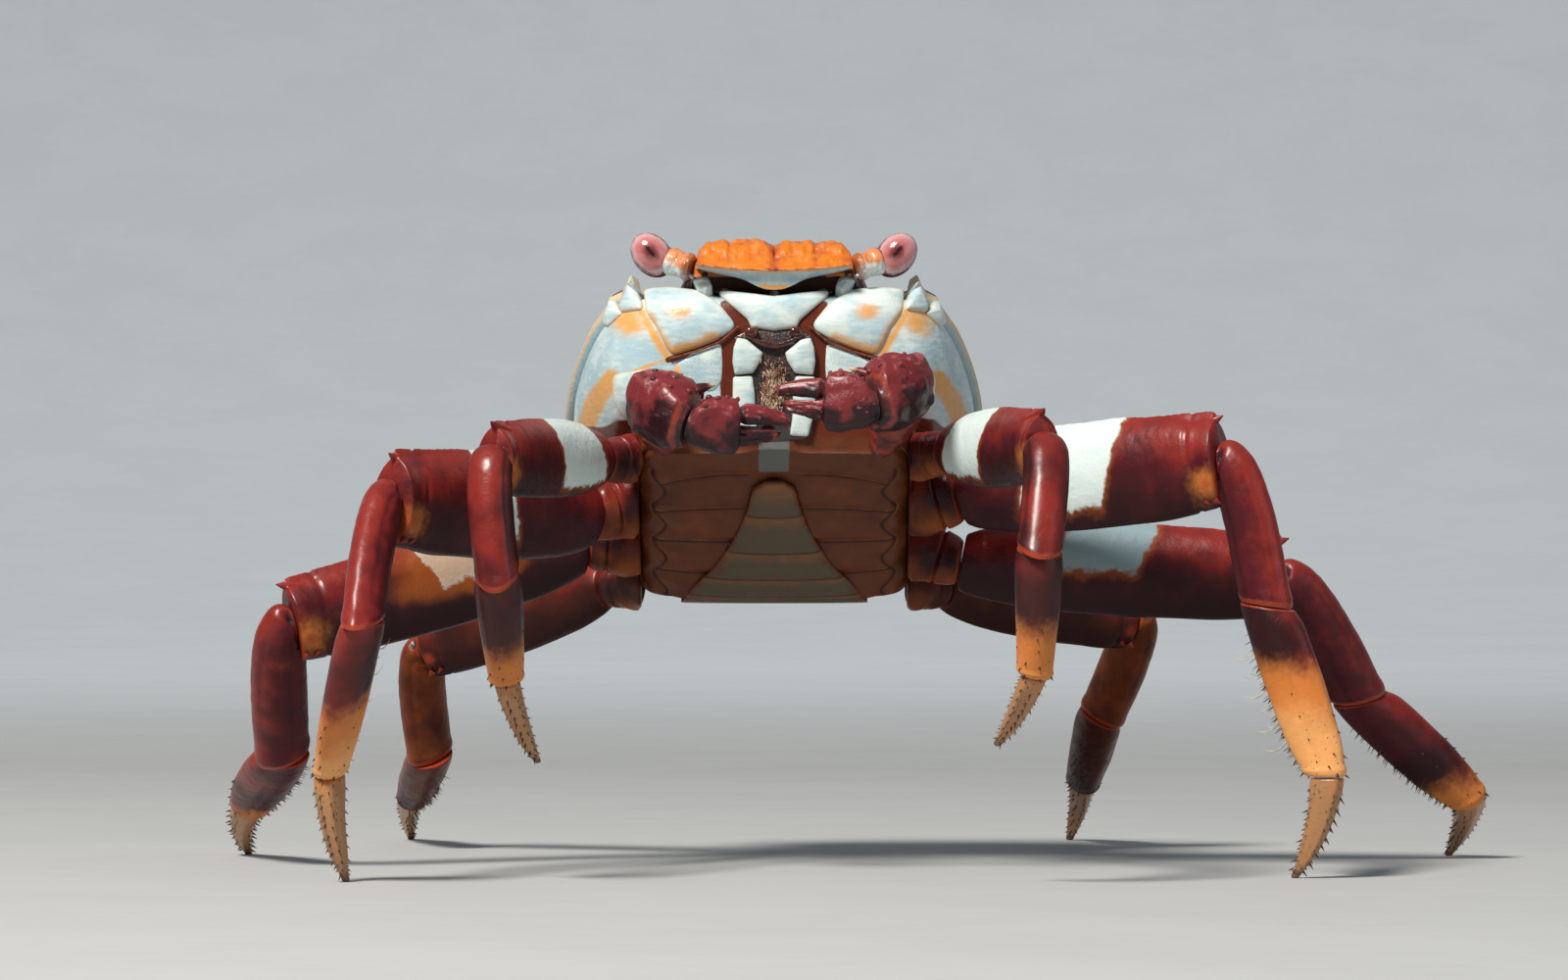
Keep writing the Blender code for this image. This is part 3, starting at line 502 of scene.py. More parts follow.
class Wire:
    """A socket in a material's nodes. Sums written on it add Math nodes, and add() makes any other node."""

    def __init__(self, tree, socket=None):
        self.tree = tree
        self.socket = socket

    def add(self, kind, settings=None, out=0, **values):
        """A node of a type: its settings first, then values or links for its sockets, named or numbered as _0."""
        node = self.tree.nodes.new(kind)
        for key, value in (settings or {}).items():
            setattr(node, key, value)
        for key, value in values.items():
            self.put(node.inputs[int(key[1:])] if key[0] == "_" else node.inputs[key], value)
        return Wire(self.tree, node.outputs[out])

    def put(self, socket, value):
        """Links a Wire to a socket, or sets the socket to a plain value."""
        if isinstance(value, Wire):
            self.tree.links.new(value.socket, socket)
        else:
            socket.default_value = value

    def sum(self, operation, first, second):
        """A Math node on two sockets or numbers."""
        return self.add("ShaderNodeMath", {"operation": operation}, _0=first, _1=second)

    def __add__(self, other):
        return self.sum("ADD", self, other)

    def __sub__(self, other):
        return self.sum("SUBTRACT", self, other)

    def __rsub__(self, other):
        return self.sum("SUBTRACT", other, self)

    def __mul__(self, other):
        return self.sum("MULTIPLY", self, other)

    __radd__, __rmul__ = __add__, __mul__

    def between(self, low, high):
        """0 at low and 1 at high, eased between; low may be the greater."""
        return self.add("ShaderNodeMapRange", {"interpolation_type": "SMOOTHSTEP"},
                        _0=self, _1=low, _2=high, _3=0.0, _4=1.0)

    def tint(self, other, mask):
        """This colour with another laid over it by a mask."""
        other = other if isinstance(other, Wire) else colour_value(other)
        return self.add("ShaderNodeMix", {"data_type": "RGBA"}, out=2, _0=mask, _6=self, _7=other)

    def layers(self, *pairs):
        """This colour with others laid over it in turn, each given with its mask."""
        colour = self
        for other, mask in pairs:
            colour = colour.tint(other, mask)
        return colour

    def mark(self, name):
        """A number that the mesh holds for each of its points."""
        return self.add("ShaderNodeAttribute", {"attribute_name": name}, out=2)

    def place(self):
        """The point's own coordinates in its object."""
        return self.add("ShaderNodeTexCoord", out=3)

    def grain(self, size, detail=2.0, stretch=(1, 1, 1)):
        """Noise about 0 with features of a size in metres, drawn out along the axes by the stretch."""
        at = self.add("ShaderNodeMapping", _0=self.place(), _3=[1 / part for part in stretch])
        return self.add("ShaderNodeTexNoise", Vector=at, Scale=1 / size, Detail=detail) - 0.5

    def dots(self, size, randomness=1.0):
        """Distance from the nearest of scattered points, in their spacing."""
        return self.add("ShaderNodeTexVoronoi", Vector=self.place(), Scale=1 / size, Randomness=randomness)


def finish_for(name, paint, *more):
    """A material. Its paint gets a Wire and whatever else is given, and returns the colour, the roughness, the
    bump's height in metres and what its shader's other sockets get."""
    material = bpy.data.materials.new(name)
    material.use_nodes = True
    shader = material.node_tree.nodes["Principled BSDF"]
    wire = Wire(material.node_tree)
    colour, roughness, height, others = paint(wire, *more)
    bump = wire.add("ShaderNodeBump", Strength=1.0, Distance=1.0, Height=height)
    for key, value in {"Base Color": colour, "Roughness": roughness, "Normal": bump, **others}.items():
        wire.put(shader.inputs[key], value)
    return material


def flat(wire, colour):
    """A colour of the same tone all over, to lay others on."""
    tone = colour_value(colour)
    return wire.add("ShaderNodeMix", {"data_type": "RGBA"}, out=2, _0=0.0, _6=tone, _7=tone)


def leg_paint(w, ground):
    """Leg shell: its ground colour, redder along the upper edge and darker in clouds and with painted shade where
    the shade mark says, turning to orange or amber by their marks, with a pale band of torn, amber-hemmed edges
    that the stipple colour dims by its mark as a painted shadow, red rims at the joints, freckles and pores."""
    mark, cloud, patch, fine = w.mark, w.grain(0.007), w.grain(0.0028, 3.0), w.grain(0.0009, 3.0)
    amber = (mark("amber") + cloud * 0.9 + patch * 0.5).between(0.2, 0.9)
    warmth = mark("warm") * 0.5 + patch * 0.9 + fine * 0.5
    torn = mark("band") * 0.8 + patch * 1.6 + fine * 0.8
    # The stipple colour laid over the band by its mark is a painted shadow on the left third leg's band.
    pale = flat(w, "pale_band").layers(("face_blue", (cloud * 2 + fine).between(0.1, 0.8) * 0.45),
                                          ("stipple", mark("dull")))
    colour = flat(w, ground).layers(
        ("shell_red", (mark("rise") * 0.7 + cloud * 1.5 + patch).between(-0.2, 0.8)),
        ("shell_rose", (patch * 1.4 + fine + mark("rise") * 0.25).between(0.3, 1.0) * 0.35),
        # Painted shade: darker where the shade mark says.
        ("shell_dark", (cloud * -1.6 + patch * 0.5 + mark("shade")).between(0.0, 1.2) * 0.85),
        ("shell_amber", amber),
        ("shell_orange", warmth.between(-0.6, 0.7)),
        ("shell_gold", warmth.between(0.9, 2.6) * 0.8),
        ("shell_amber", torn.between(-1.0, 0.0) * 0.75),
        (pale, torn.between(-0.15, 0.40)),
        ("tip_tan", amber * torn.between(-0.1, 0.4) * 0.75),
        ("shell_dark", w.dots(0.0011).between(0.16, 0.07) * (mark("freckle") + patch).between(0.4, 0.9) * 0.8),
        ("joint_red", (mark("edge") + fine * 0.3).between(0.25, 0.9) * 0.85),
        ("membrane", mark("slot")))
    height = w.grain(0.0006, 3.0) * 0.00006 - w.dots(0.0006).between(0.30, 0.05) * 0.00002 + patch * 0.00018
    return colour, 0.40 + w.grain(0.002, 4.0) * 0.40, height, {
        "Coat Weight": (mark("rise") + patch * 0.5).between(-0.3, 0.9) * 0.34, "Coat Roughness": 0.24,
        "Specular IOR Level": 0.16}


def enamel_paint(w, rough=0.26):
    """Face shell: blue-white enamel in clouds with fine streaks and blue stippling, ochre, rust and orange where
    their marks say, and cream on the rims that are trimmed with it."""
    mark, cloud, streak = w.mark, w.grain(0.006), w.grain(0.0009, 3.0, (3.0, 3.0, 0.8))
    stipple = w.dots(0.00034).between(0.36, 0.10)
    colour = flat(w, "face_white").layers(
        ("face_blue", (cloud * 1.6 + streak * 1.1 + 0.55).between(0.15, 1.0)),
        ("stipple", stipple * (mark("pits") + cloud * 1.5 + streak).between(0.35, 1.1) * 0.7),
        ("face_ochre", (mark("ochre") + cloud * 0.5 + streak * 0.5).between(0.15, 0.95) * 0.9),
        ("face_orange", (mark("spot") + cloud * 0.5 + streak * 0.6).between(0.15, 1.0) * 0.9),
        ("rim_cream", (mark("rim") + streak * 0.05).between(0.90, 0.98) * mark("trim")),
        ("rust", (mark("rust") + cloud * 0.3 + streak * 0.4).between(0.3, 0.8)))
    height = w.grain(0.0006, 3.0) * 0.00005 + w.grain(0.003) * 0.00014 - stipple * 0.00001
    return colour, rough + w.grain(0.0025, 4.0) * 0.25, height, {"Coat Weight": 0.3, "Coat Roughness": 0.14}


def plain_paint(w, colours, size, rough, bump=0.00005, others=None):
    """Two tones in clouds with a finer grain over them."""
    mask = (w.grain(size) * 2.0 + w.grain(size / 6, 3.0) + 0.5).between(0.2, 0.8)
    return (flat(w, colours[0]).tint(colours[1], mask), rough + w.grain(size / 3, 3.0) * 0.3,
            w.grain(size / 5, 3.0) * bump, others or {})


# ---------------------------------------------------------------- body

def carapace_edge(count):
    """The carapace's edge from the middle of the front round by the left side: straight front, the orbits' and
    teeth's corners, a superellipse round the side and a straight rear, in steps a third as long at the front."""
    turns = np.radians(np.linspace(52, 166, 60))
    ahead = turns < math.pi / 2
    reach, square = np.where(ahead, FRONT_ROUND[0], REAR_ROUND[0]), np.where(ahead, FRONT_ROUND[1], REAR_ROUND[1])
    radius = ((np.sin(turns) / SIDE_REACH) ** square + np.abs(np.cos(turns) / reach) ** square) ** (-1 / square)
    sides = np.stack([radius * np.sin(turns), np.maximum(REAR_MARGIN, WIDEST_ALONG + radius * np.cos(turns))], 1)
    half = np.concatenate([[(0, FRONT_MARGIN[0]), (FRONT_HALF, FRONT_MARGIN[0] - 0.004)], ORBIT_AND_TEETH, sides,
                           [(0, REAR_MARGIN)]])
    steps = np.linalg.norm(np.diff(half, axis=0), axis=1) * np.where(half[1:, 1] > 0.28, 3.0, 1.0)
    far = np.append(0, np.cumsum(steps))
    spots = np.linspace(0, far[-1], count // 2 + 1)
    left = np.stack([np.interp(spots, far, half[:, k]) for k in (0, 1)], 1)
    ring = np.concatenate([left, left[-2:0:-1] * (-1, 1)])
    return sum(np.roll(ring, shift, 0) for shift in (-1, 0, 1)) / 3


def back_relief(across, along):
    """Height of the carapace's carving, in carapace widths: slanting ridges over the gill chambers and short
    scales towards the front, each the cube of a saw-tooth bent by noise; less bells along the grooves round the
    middle field, the heart and the sides; and a low swell to either side, exp(-(a / w)^2 - (b / v)^2)."""
    a, flat_place = np.abs(across), np.stack([across, along, 0 * across], -1)
    wander = noise(flat_place, 0.06, 1) * 0.25 + noise(flat_place, 0.02, 2) * 0.10
    side = eased(a, 0.20, 0.30)
    ridge = (along * 0.55 + a * 0.84) / 0.034 + wander
    ridges = (ridge - np.floor(ridge)) ** 3 * side * eased(along, -0.40, -0.30) * 0.0050
    scale = (along * 0.96 - a * 0.25) / 0.022 + wander * 2
    rough = eased(noise(flat_place, 0.03, 3), -0.2, 0.4) * (1 - side) * eased(along, -0.05, 0.20)
    scales = (scale - np.floor(scale)) ** 3 * rough * 0.0036
    field = from_line(a, along, ((0.055, 0.36), (0.115, 0.26), (0.150, 0.12), (0.105, 0.01), (0.050, -0.03)))
    heart = from_line(a, along, ((0.105, 0.01), (0.085, -0.08), (0.125, -0.17), (0.090, -0.27), (0.030, -0.31)))
    side_cut = from_line(a, along, ((0.150, 0.12), (0.23, 0.15), (0.33, 0.12)))
    groove = (bell(field + 0.012 * wander, 0.016) * 0.0065 + bell(heart, 0.014) * 0.0055
              + bell(side_cut, 0.014) * 0.0035)
    swell = 0.010 * np.exp(-((a - 0.30) / 0.12) ** 2 - ((along + 0.05) / 0.22) ** 2)
    return ridges + scales - groove + swell + noise(flat_place, 0.012, 4) * 0.0009


# The notches that part the front's lobes: where across, how wide and how deep.
LOBE_NOTCHES = ((-0.185, 0.030, 1.0), (-0.105, 0.020, 0.50), (0.0, 0.026, 1.15), (0.098, 0.020, 0.55),
                (0.185, 0.030, 1.0))


def lobe_crest(across):
    """Height of the four lobes along the front: 1 less the deepest notch there, where a notch falls away from its
    middle as 1 - (d / w)^0.5, with two sizes of noise; it ends at the front's corners."""
    cut = np.max([deep * (1 - np.sqrt(np.clip(np.abs(across - place) / wide, 0, 1)))
                  for place, wide, deep in LOBE_NOTCHES], axis=0)
    line = np.stack([across, 0 * across, 0 * across], -1)
    bumps = 0.20 * noise(line, 0.021, 8) + 0.12 * noise(line, 0.009, 9)
    return (1 - cut + bumps) * eased(0.20 - np.abs(across), 0.0, 0.012)


EDGE_POINTS, BACK_RINGS, BLUR = 720, 120, 28
# In carapace widths: how far the lobes push the front out and up, and how far the shell under them sinks in.
LOBE_PUSH, LOBE_RISE, FRONT_SINK = 0.012, 0.030, 0.023
# Each eye's hollow: how far across and how wide, in carapace widths, and how deep, in metres.
EYE_HOLLOW = (0.272, 0.058, 0.0036)
GRIT = 0.00022
# The rings that turn the margin in to the seam: how far out, and how far below the edge.
UNDER_MARGIN = ((0.996, -0.004), (0.985, -0.010), (0.955, -0.050))


def make_carapace(finish):
    """The carapace: rings of its edge line shrunk to the middle by t, blurred except near the margin. They rise
    from the edge to the crown by (1 - t^p)^q, with p = 3.2 and q = 0.62 that change to 9.2 and 0.45 towards the
    front. The relief rides on the back, the lobes push the front's rings forwards and up, grit roughens them, a
    hollow sinks over each eye as a bell of power 4, and three rings turn the margin in to the seam."""
    edge_line = carapace_edge(EDGE_POINTS)
    blurred = sum(np.roll(edge_line, shift, 0) for shift in range(-BLUR, BLUR + 1)) / (2 * BLUR + 1)
    out, ahead = np.abs(edge_line[:, 0]), edge_line[:, 1] > 0
    nearness = np.clip((FRONT_MARGIN[0] - edge_line[:, 1]) / 0.09, 0, 1)
    slope = FRONT_MARGIN[1] + (SIDE_MARGIN_HEIGHT - FRONT_MARGIN[1]) * nearness
    edge = np.where((out < FRONT_HALF + 0.02) & ahead, slope, SIDE_MARGIN_HEIGHT)
    frontness = np.clip((0.26 - out) / 0.06, 0, 1) * ahead
    t = np.sin(np.linspace(0.02, math.pi / 2, BACK_RINGS))[:, None]
    weight = np.clip((t - 0.80) / 0.20, 0, 1)[..., None]
    plan = t[..., None] * ((1 - weight) * blurred + weight * edge_line)
    power, root = 3.2 + 6.0 * frontness, 0.62 - 0.17 * frontness
    dome = edge + (CROWN_HEIGHT - edge) * (1 - np.minimum(t, 0.9999) ** power) ** root
    lobes = lobe_crest(plan[..., 0])
    pads = lobes * eased(t, 0.875, 0.94) * (1 - eased(t, 0.962, 0.992)) * frontness
    plan = plan + pads[..., None] * (0, LOBE_PUSH)
    relief = back_relief(plan[..., 0], plan[..., 1]) * eased(1 - t, 0.01, 0.12)
    height = dome + pads * LOBE_RISE + relief - FRONT_SINK * frontness * bell(t - 0.945, 0.035)
    rings = body_point(plan[..., 0], plan[..., 1], height)
    grit = noise(rings, 0.0013, 5) * GRIT + np.clip(noise(rings, 0.0007, 6), 0, 1) * GRIT
    rings = rings + (grit * frontness * (t > 0.85))[..., None] * (0, -0.7, 0.7)
    dip = bell(np.abs(plan[..., 0]) - EYE_HOLLOW[0], EYE_HOLLOW[1], 4) * eased(plan[..., 1], 0.16, 0.30)
    rings = rings - (dip * EYE_HOLLOW[2])[..., None] * (0, 0, 1)
    lower = [body_point(edge_line[:, 0] * share, edge_line[:, 1] * share, np.maximum(SEAM_HEIGHT, edge + drop))
             for share, drop in UNDER_MARGIN]

    below = np.zeros((len(UNDER_MARGIN), len(edge_line)))
    margin = np.append(eased(t[:, 0], 0.992, 0.9995), [0.9, 0.4, 0.0])[:, None] * (1 - frontness)
    front = np.append(eased(t[:, 0], 0.80, 0.92), [1, 1, 1])[:, None] * (eased(0.196 - out, 0, 0.008) * ahead)
    ridge = np.clip((relief - noise(rings, 0.006, 7) * 0.001) / 0.004, 0, 1)
    low = np.append(np.zeros(BACK_RINGS - 2), [0.6, 1, 1, 1, 1])[:, None]
    foot = eased(t, 0.87, 0.93)
    # Painted shade: the notches between the lobes and the grit's sunk pits are painted darker red.
    notch = np.clip((1 - lobes) * foot + 0.5 * eased(-grit / 0.0001, 0, 1) * foot, 0, 1)
    # Painted shade: the hollow mark darkens the under margin at the front, beneath the lobes.
    skin = tube(np.concatenate([rings, lower]), margin=margin, front=front, ridge=np.concatenate([ridge, below]),
                notch=np.concatenate([notch, below]), under=low * (1 - frontness),
                hollow=low * eased(frontness, 0.2, 0.6))
    piece("carapace_shell", [skin], finish, ["carapace"], "shell_red", 60)


# The underside's seams across: where along the body, and how far each bows.
STERNUM_SEAMS = ((0.105, -3.0), (-0.014, -1.0), (-0.132, 0.4), (-0.250, 1.5))


def sternum_relief(a, along):
    """The underside's plates: how near the seams between them run (curves across it at four places and a wavy line
    down each side, each a bell), a lit edge just ahead of each, and how far each plate swells."""
    away = np.array([along - place - 0.35 * (a - 0.08) ** 2 * bow for place, bow in STERNUM_SEAMS])
    wave = a - 0.272 + 0.016 * np.cos((along + 0.073) * 2 * math.pi / 0.118)
    inside = eased(a, 0.03, 0.08) * eased(-wave, -0.01, 0.0)
    cross = bell(away, 0.0038).sum(0) * inside
    lit = bell(away - 0.0075, 0.0035).sum(0) * inside
    side = bell(wave, 0.0042) * (along < 0.12)
    swell = eased(np.abs(away).min(0), 0.0, 0.034) * eased(np.abs(wave), 0.0, 0.05)
    return np.clip(cross + side, 0, 1), lit, swell


THORAX_SIDES, SIDE_RINGS, FLOOR_RINGS = 480, 130, 90
# In carapace widths: how deep the underside's seams are, how far its plates swell and how steeply its sides rise.
SEAM_DEPTH, PLATE_SWELL, SIDE_LIFT = 0.0045, 0.0085, 0.045
# In metres: how deep the hollow under the front is.
FRONT_HOLLOW = 0.0030


def make_thorax(finish):
    """The thorax: rings of its outline down from the seam to the belly, then the last outline shrunk to the
    middle. On the underside seams sink by their bells and plates swell, and at its sides it rises by a square;
    under the front a hollow sinks back as a bell of power 4."""
    turns = once_round(THORAX_SIDES)
    height = np.concatenate([np.linspace(THORAX_TOP, BELLY_HEIGHT, SIDE_RINGS),
                             np.full(FLOOR_RINGS, BELLY_HEIGHT)])
    shrink = np.concatenate([np.ones(SIDE_RINGS), np.linspace(0.988, 0.01, FLOOR_RINGS)])
    reach = thorax_reach(turns[None, :], height[:, None] + 0 * turns) * shrink[:, None]
    across, along = reach * np.sin(turns), WIDEST_ALONG + reach * np.cos(turns)
    a = np.abs(across)
    low = eased(height, 0.42, BELLY_HEIGHT)[:, None]
    seam, lit, swell = sternum_relief(a, along)
    flat_part = low * (shrink < 1)[:, None]
    above = -height[:, None] + (SEAM_DEPTH * seam - PLATE_SWELL * swell * eased(a, 0.02, 0.09)) * flat_part
    above = above + SIDE_LIFT * np.clip((a - 0.262) / 0.06, 0, 1) ** 2 * low
    rings = body_point(across, along, above)
    x, z = chart(rings)
    ahead = eased(-(rings[..., 1] - BODY_CENTRE[1]) / MM, 2.0, 10.0)
    hollow = bell(z - 12.1 - 0.14 * x, 1.7, 4) * eased(x, 0.2, 1.4) * eased(15.0 - x, 0.0, 1.6) * ahead
    rings = rings + (hollow * FRONT_HOLLOW)[..., None] * (0, 1, -0.15)

    ochre = np.max([bell(from_line(x, z, ((22.2, 9.6), (17.3, 1.2))), 0.85),
                    0.8 * bell(from_line(x, z, ((17.3, 1.2), (26.8, -2.2))), 0.45),
                    0.95 * bell(np.hypot((x - 23.6) / 3.6, (z - 7.6) / 3.4), 1),
                    1.1 - eased(from_line(x, z, ((27.0, -2.3), (29.6, -5.4), (31.6, -10.5))), 0.7, 2.6)], axis=0)
    strip = np.maximum(eased(9.4 - x, 0.0, 1.2) * eased(11.2 - z, 0, 1),
                       1 - eased(from_line(x, z, ((17.3, 1.0), (12.8, 2.4), (8.9, 3.9), (6.0, 6.0))), 0.2, 0.8))
    hem = eased(-z - 7.6 - 0.15 * np.clip(x - 22, 0, 12) + noise(rings, 0.004, 3), 0.0, 1.6)
    belly = np.maximum(eased(-z, 10.5, 13.0), 1 - ahead) * eased(-z - 3.0 + 7 * ahead, 0, 6)
    median = eased(2.9 - x, 0, 0.8) * eased(-z - 9.0, 0, 2.0) * eased(z + 17.6, 0, 0.6) * ahead
    # Painted shade: the hollow mark darkens the hollow under the front.
    skin = tube(rings, ochre=ochre * ahead, rust=np.maximum(strip, hem) * ahead, belly=belly, seam=seam * low,
                lit=lit * low, median=median, hollow=hollow,
                pits=eased(24.0 - x, 0, 6) * eased(4.0 - z, 0, 5) * ahead)
    piece("thorax_shell", [skin], finish, ["thorax"], "shell_pale")


# Where the tail's segments end, along its path from the tip.
TAIL_BREAKS = np.array([0.0, 0.117, 0.246, 0.340, 0.402, 0.455, 0.62, 0.9])


def make_abdomen(finish):
    """The tail plate: rings along its path, each segment thickening towards its rear edge and then stepping in,
    with a bell for each seam. A ring goes across as cos^0.8, and out from the belly as sin^0.7."""
    base = np.array([(along, -BELLY_HEIGHT - GAP / CARAPACE_WIDTH - 0.004 + height)
                     for (along, _), height in zip(ABDOMEN_PATH, ABDOMEN_HEIGHTS)])
    far = np.append(0, np.cumsum(np.linalg.norm(np.diff(base, axis=0), axis=1)))
    spots = np.linspace(0, far[-1], 260)
    path = np.stack([through(spots, far, base[:, k]) for k in (0, 1)], 1)
    half = through(spots, far, ABDOMEN_PATH[:, 1])
    slope = unit(np.gradient(path, axis=0))
    k = np.clip(np.searchsorted(TAIL_BREAKS, spots, side="right") - 1, 0, len(TAIL_BREAKS) - 2)
    part = (spots - TAIL_BREAKS[k]) / (TAIL_BREAKS[k + 1] - TAIL_BREAKS[k])
    seam = bell(np.minimum(spots - TAIL_BREAKS[k], TAIL_BREAKS[k + 1] - spots), 0.0035)
    rise, fore = np.sin(once_round(72)), np.cos(once_round(72))
    depth = ABDOMEN_DEPTH * (0.78 + 0.22 * part) - 0.007 * seam
    out = np.where(rise > 0, depth[:, None] * (np.abs(rise) ** 0.7 * np.sign(rise)), 0.003 * rise)
    side = half[:, None] * np.sign(fore) * np.abs(fore) ** 0.8
    rings = body_point(side, path[:, :1] + out * slope[:, 1:], path[:, 1:] - out * -slope[:, :1])
    skin = tube(rings, seam=seam[:, None], band=(1 - part[:, None]) ** 2, edge=np.abs(fore) ** 6,
                tip=eased(0.10 - spots, 0, 0.1)[:, None])
    piece("tail_plate", [skin], finish, ["abdomen"], "shell_brown")


# ---------------------------------------------------------------- face

# Outlines and lines on the face's chart, across and up from the body's middle, in millimetres.
ORBIT_PLATE = ((21.5, 12.7), (19.6, 13.0), (17.2, 13.1), (12.9, 12.6), (9.1, 10.4), (6.4, 7.0), (6.6, 5.9),
               (8.8, 4.6), (12.8, 2.9), (16.6, 1.7), (17.7, 3.1), (19.0, 6.0), (21.0, 8.9))
CHEEK_PLATE = ((16.0, 0.3), (13.4, 2.1), (8.6, 3.7), (8.4, 0.0), (8.6, -2.6), (10.0, -4.2), (13.6, -3.6),
               (16.6, -1.2))
LOWER_PLATE = ((26.6, -1.4), (20.5, -0.4), (16.4, -1.6), (13.4, -4.4), (12.6, -7.0), (16.0, -8.6), (24.6, -8.6),
               (26.4, -6.0))
OUTER_TOOTH = ((23.3, 15.2), (22.5, 12.6), (21.4, 10.0), (21.7, 9.2), (25.0, 8.9), (25.2, 9.8), (24.3, 12.4))
SECOND_TOOTH = ((26.6, 11.9), (25.7, 9.9), (24.9, 8.7), (27.4, 6.6), (28.3, 7.2), (27.5, 9.6))
MOUTH_FRAME = ((0, 11.1), (6.6, 11.8), (9.1, 12.0), (8.4, 11.0), (6.1, 9.1), (4.3, 7.5), (3.7, 6.2), (0, 5.7))
MOUTH_UPPER = ((6.0, 4.6), (4.4, 4.3), (1.8, 2.1), (2.2, 0.7), (3.4, -1.2), (6.4, -1.5), (6.8, 0.6), (6.6, 3.0))
MOUTH_BED = ((0, 5.9), (4.0, 5.8), (6.5, 4.8), (6.7, 0.0), (6.4, -11.0), (5.0, -12.0), (0, -12.2))
BREATHING_HOLE = ((2.7, 6.2), (4.4, 6.2), (4.9, 5.0), (3.9, 4.3), (2.6, 4.9))
FEELER_JOINT = ((10.0, 12.0), (10.3, 13.6), (11.5, 15.0), (12.9, 15.0), (13.3, 13.6), (12.6, 12.1), (11.2, 11.5))
BEADED_RIDGE = ((16.9, 1.2), (12.8, 2.35), (8.9, 3.85), (5.9, 6.3))
FOLDED_FEELER = ((10.6, 13.5), (9.0, 13.1), (7.4, 12.8), (11.8, 14.0), (5.6, 12.7), (8.2, 13.6), (12.8, 14.4))
MOUTH_LOWER = ((6.7, -1.8), (3.5, -1.7), (3.1, -4.6), (3.0, -8.6), (2.6, -11.4), (5.6, -11.6), (6.8, -7.2))


def mirrored(half):
    """The outline of a half and its mirrored half, in order."""
    return tuple(half) + tuple((-x, z) for x, z in half[::-1] if x > 0)


def make_face():
    """The face's plates, low and domed, each with its own marks, the orbit's teeth, the mouth's four plates and a
    beaded ridge from cheek to mouth. A plate's numbers are its height, base, points round, levels, roundness, the
    power of its dome and how far its back is sunk."""
    enamel = finish_for("face enamel", enamel_paint)
    tips = finish_for("tooth enamel", enamel_paint, 0.30)
    ridge_finish = finish_for("beaded ridge", plain_paint, ((0.13, 0.030, 0.014), (0.30, 0.10, 0.045)), 0.001, 0.3)
    for name, side in SIDES.items():
        orbit = plate(side, ORBIT_PLATE, 1.25, 0.0, 170, 44, 0.5, 2.2)
        x, z = chart(orbit[0])
        foot = 0.9 * (1 - eased(from_line(x, z, ((21.0, 8.0), (17.4, 1.6), (12.8, 2.9), (10.0, 4.2))), 0.2, 2.6))
        orbit = marked(orbit, spot=bell(np.hypot((x - 15.4) / 2.4, (z - 9.0) / 1.5), 1), ochre=foot,
                       pits=eased(6.5 - z, 0, 4), trim=eased(z, 6.5, 10.0))
        cheek = plate(side, CHEEK_PLATE, 0.45, 0.0, 120, 26, 0.5, 3.0)
        x, z = chart(cheek[0])
        cheek = marked(cheek, pits=1.0, ochre=eased(x - z * 0.4, 14.4, 16.8))
        lower = marked(plate(side, LOWER_PLATE, 0.35, 0.0, 120, 22, 0.9, 3.0), trim=0.6)
        teeth = [marked(plate(side, OUTER_TOOTH, 1.35, 0.15, 110, 26, 0.22, 1.7, 1.5), trim=0.8),
                 marked(plate(side, SECOND_TOOTH, 0.9, 0.1, 90, 22, 0.22, 1.7, 1.2), trim=0.8)]
        mouth = [marked(plate(side, MOUTH_UPPER, 0.8, 1.2, 110, 24, 0.3, 2.6, -0.1), trim=0.4),
                 marked(plate(side, MOUTH_LOWER, 0.7, 1.1, 110, 24, 0.35, 2.6, -0.1), trim=0.4)]
        for label, skins, finish, nodes, crease in (
                ("orbit_plate", [orbit], enamel, (), 50), ("cheek_plate", [cheek], enamel, (), 50),
                ("lower_plate", [lower], enamel, (), 50), ("orbit_teeth", teeth, tips, (), 85),
                ("mouth_plates", mouth, tips, [f"{name}_maxilliped"], 50)):
            piece(f"{name}_{label}", skins, finish, nodes, "shell_pale", crease)
        at = np.linspace(0, 1, 46)
        place = on_face(side, *(np.interp(at, (0, 0.33, 0.66, 1), row) for row in zip(*BEADED_RIDGE)), 0.55)
        beads = studs(place + (0, 0.0003, 0), place - (0, 0.0002, 0), 0.00021, BEAD)
        piece(f"{name}_beaded_ridge", [beads], ridge_finish, (), "shell_brown")
    arch = plate(1, mirrored(MOUTH_FRAME), 1.2, 0.3, 200, 34, 0.3, 2.2)
    x, z = chart(arch[0])
    arch = marked(arch, trim=0.35, rust=0.7 * eased(6.4 - z, 0.0, 0.9) * eased(x, 0.5, 2.5))
    piece("mouth_frame", [arch], enamel, (), "shell_pale")


def front_paint(w):
    """The front's lower side: blue-white with a cream lip and an ochre foot."""
    cloud, streak = w.grain(0.003), w.grain(0.0006, 3.0, (0.6, 2, 2))
    colour = flat(w, "face_white").layers(
        ("face_blue", (cloud * 1.5 + streak + 0.7).between(0.1, 0.9)),
        ("rim_cream", (w.mark("lip") + streak * 0.5).between(0.25, 0.6)),
        ("face_ochre", (w.mark("foot") + streak * 0.6).between(0.1, 0.7) * 0.9))
    return colour, 0.28 + streak * 0.3, streak * 0.00006, {"Coat Weight": 0.3, "Coat Roughness": 0.15}


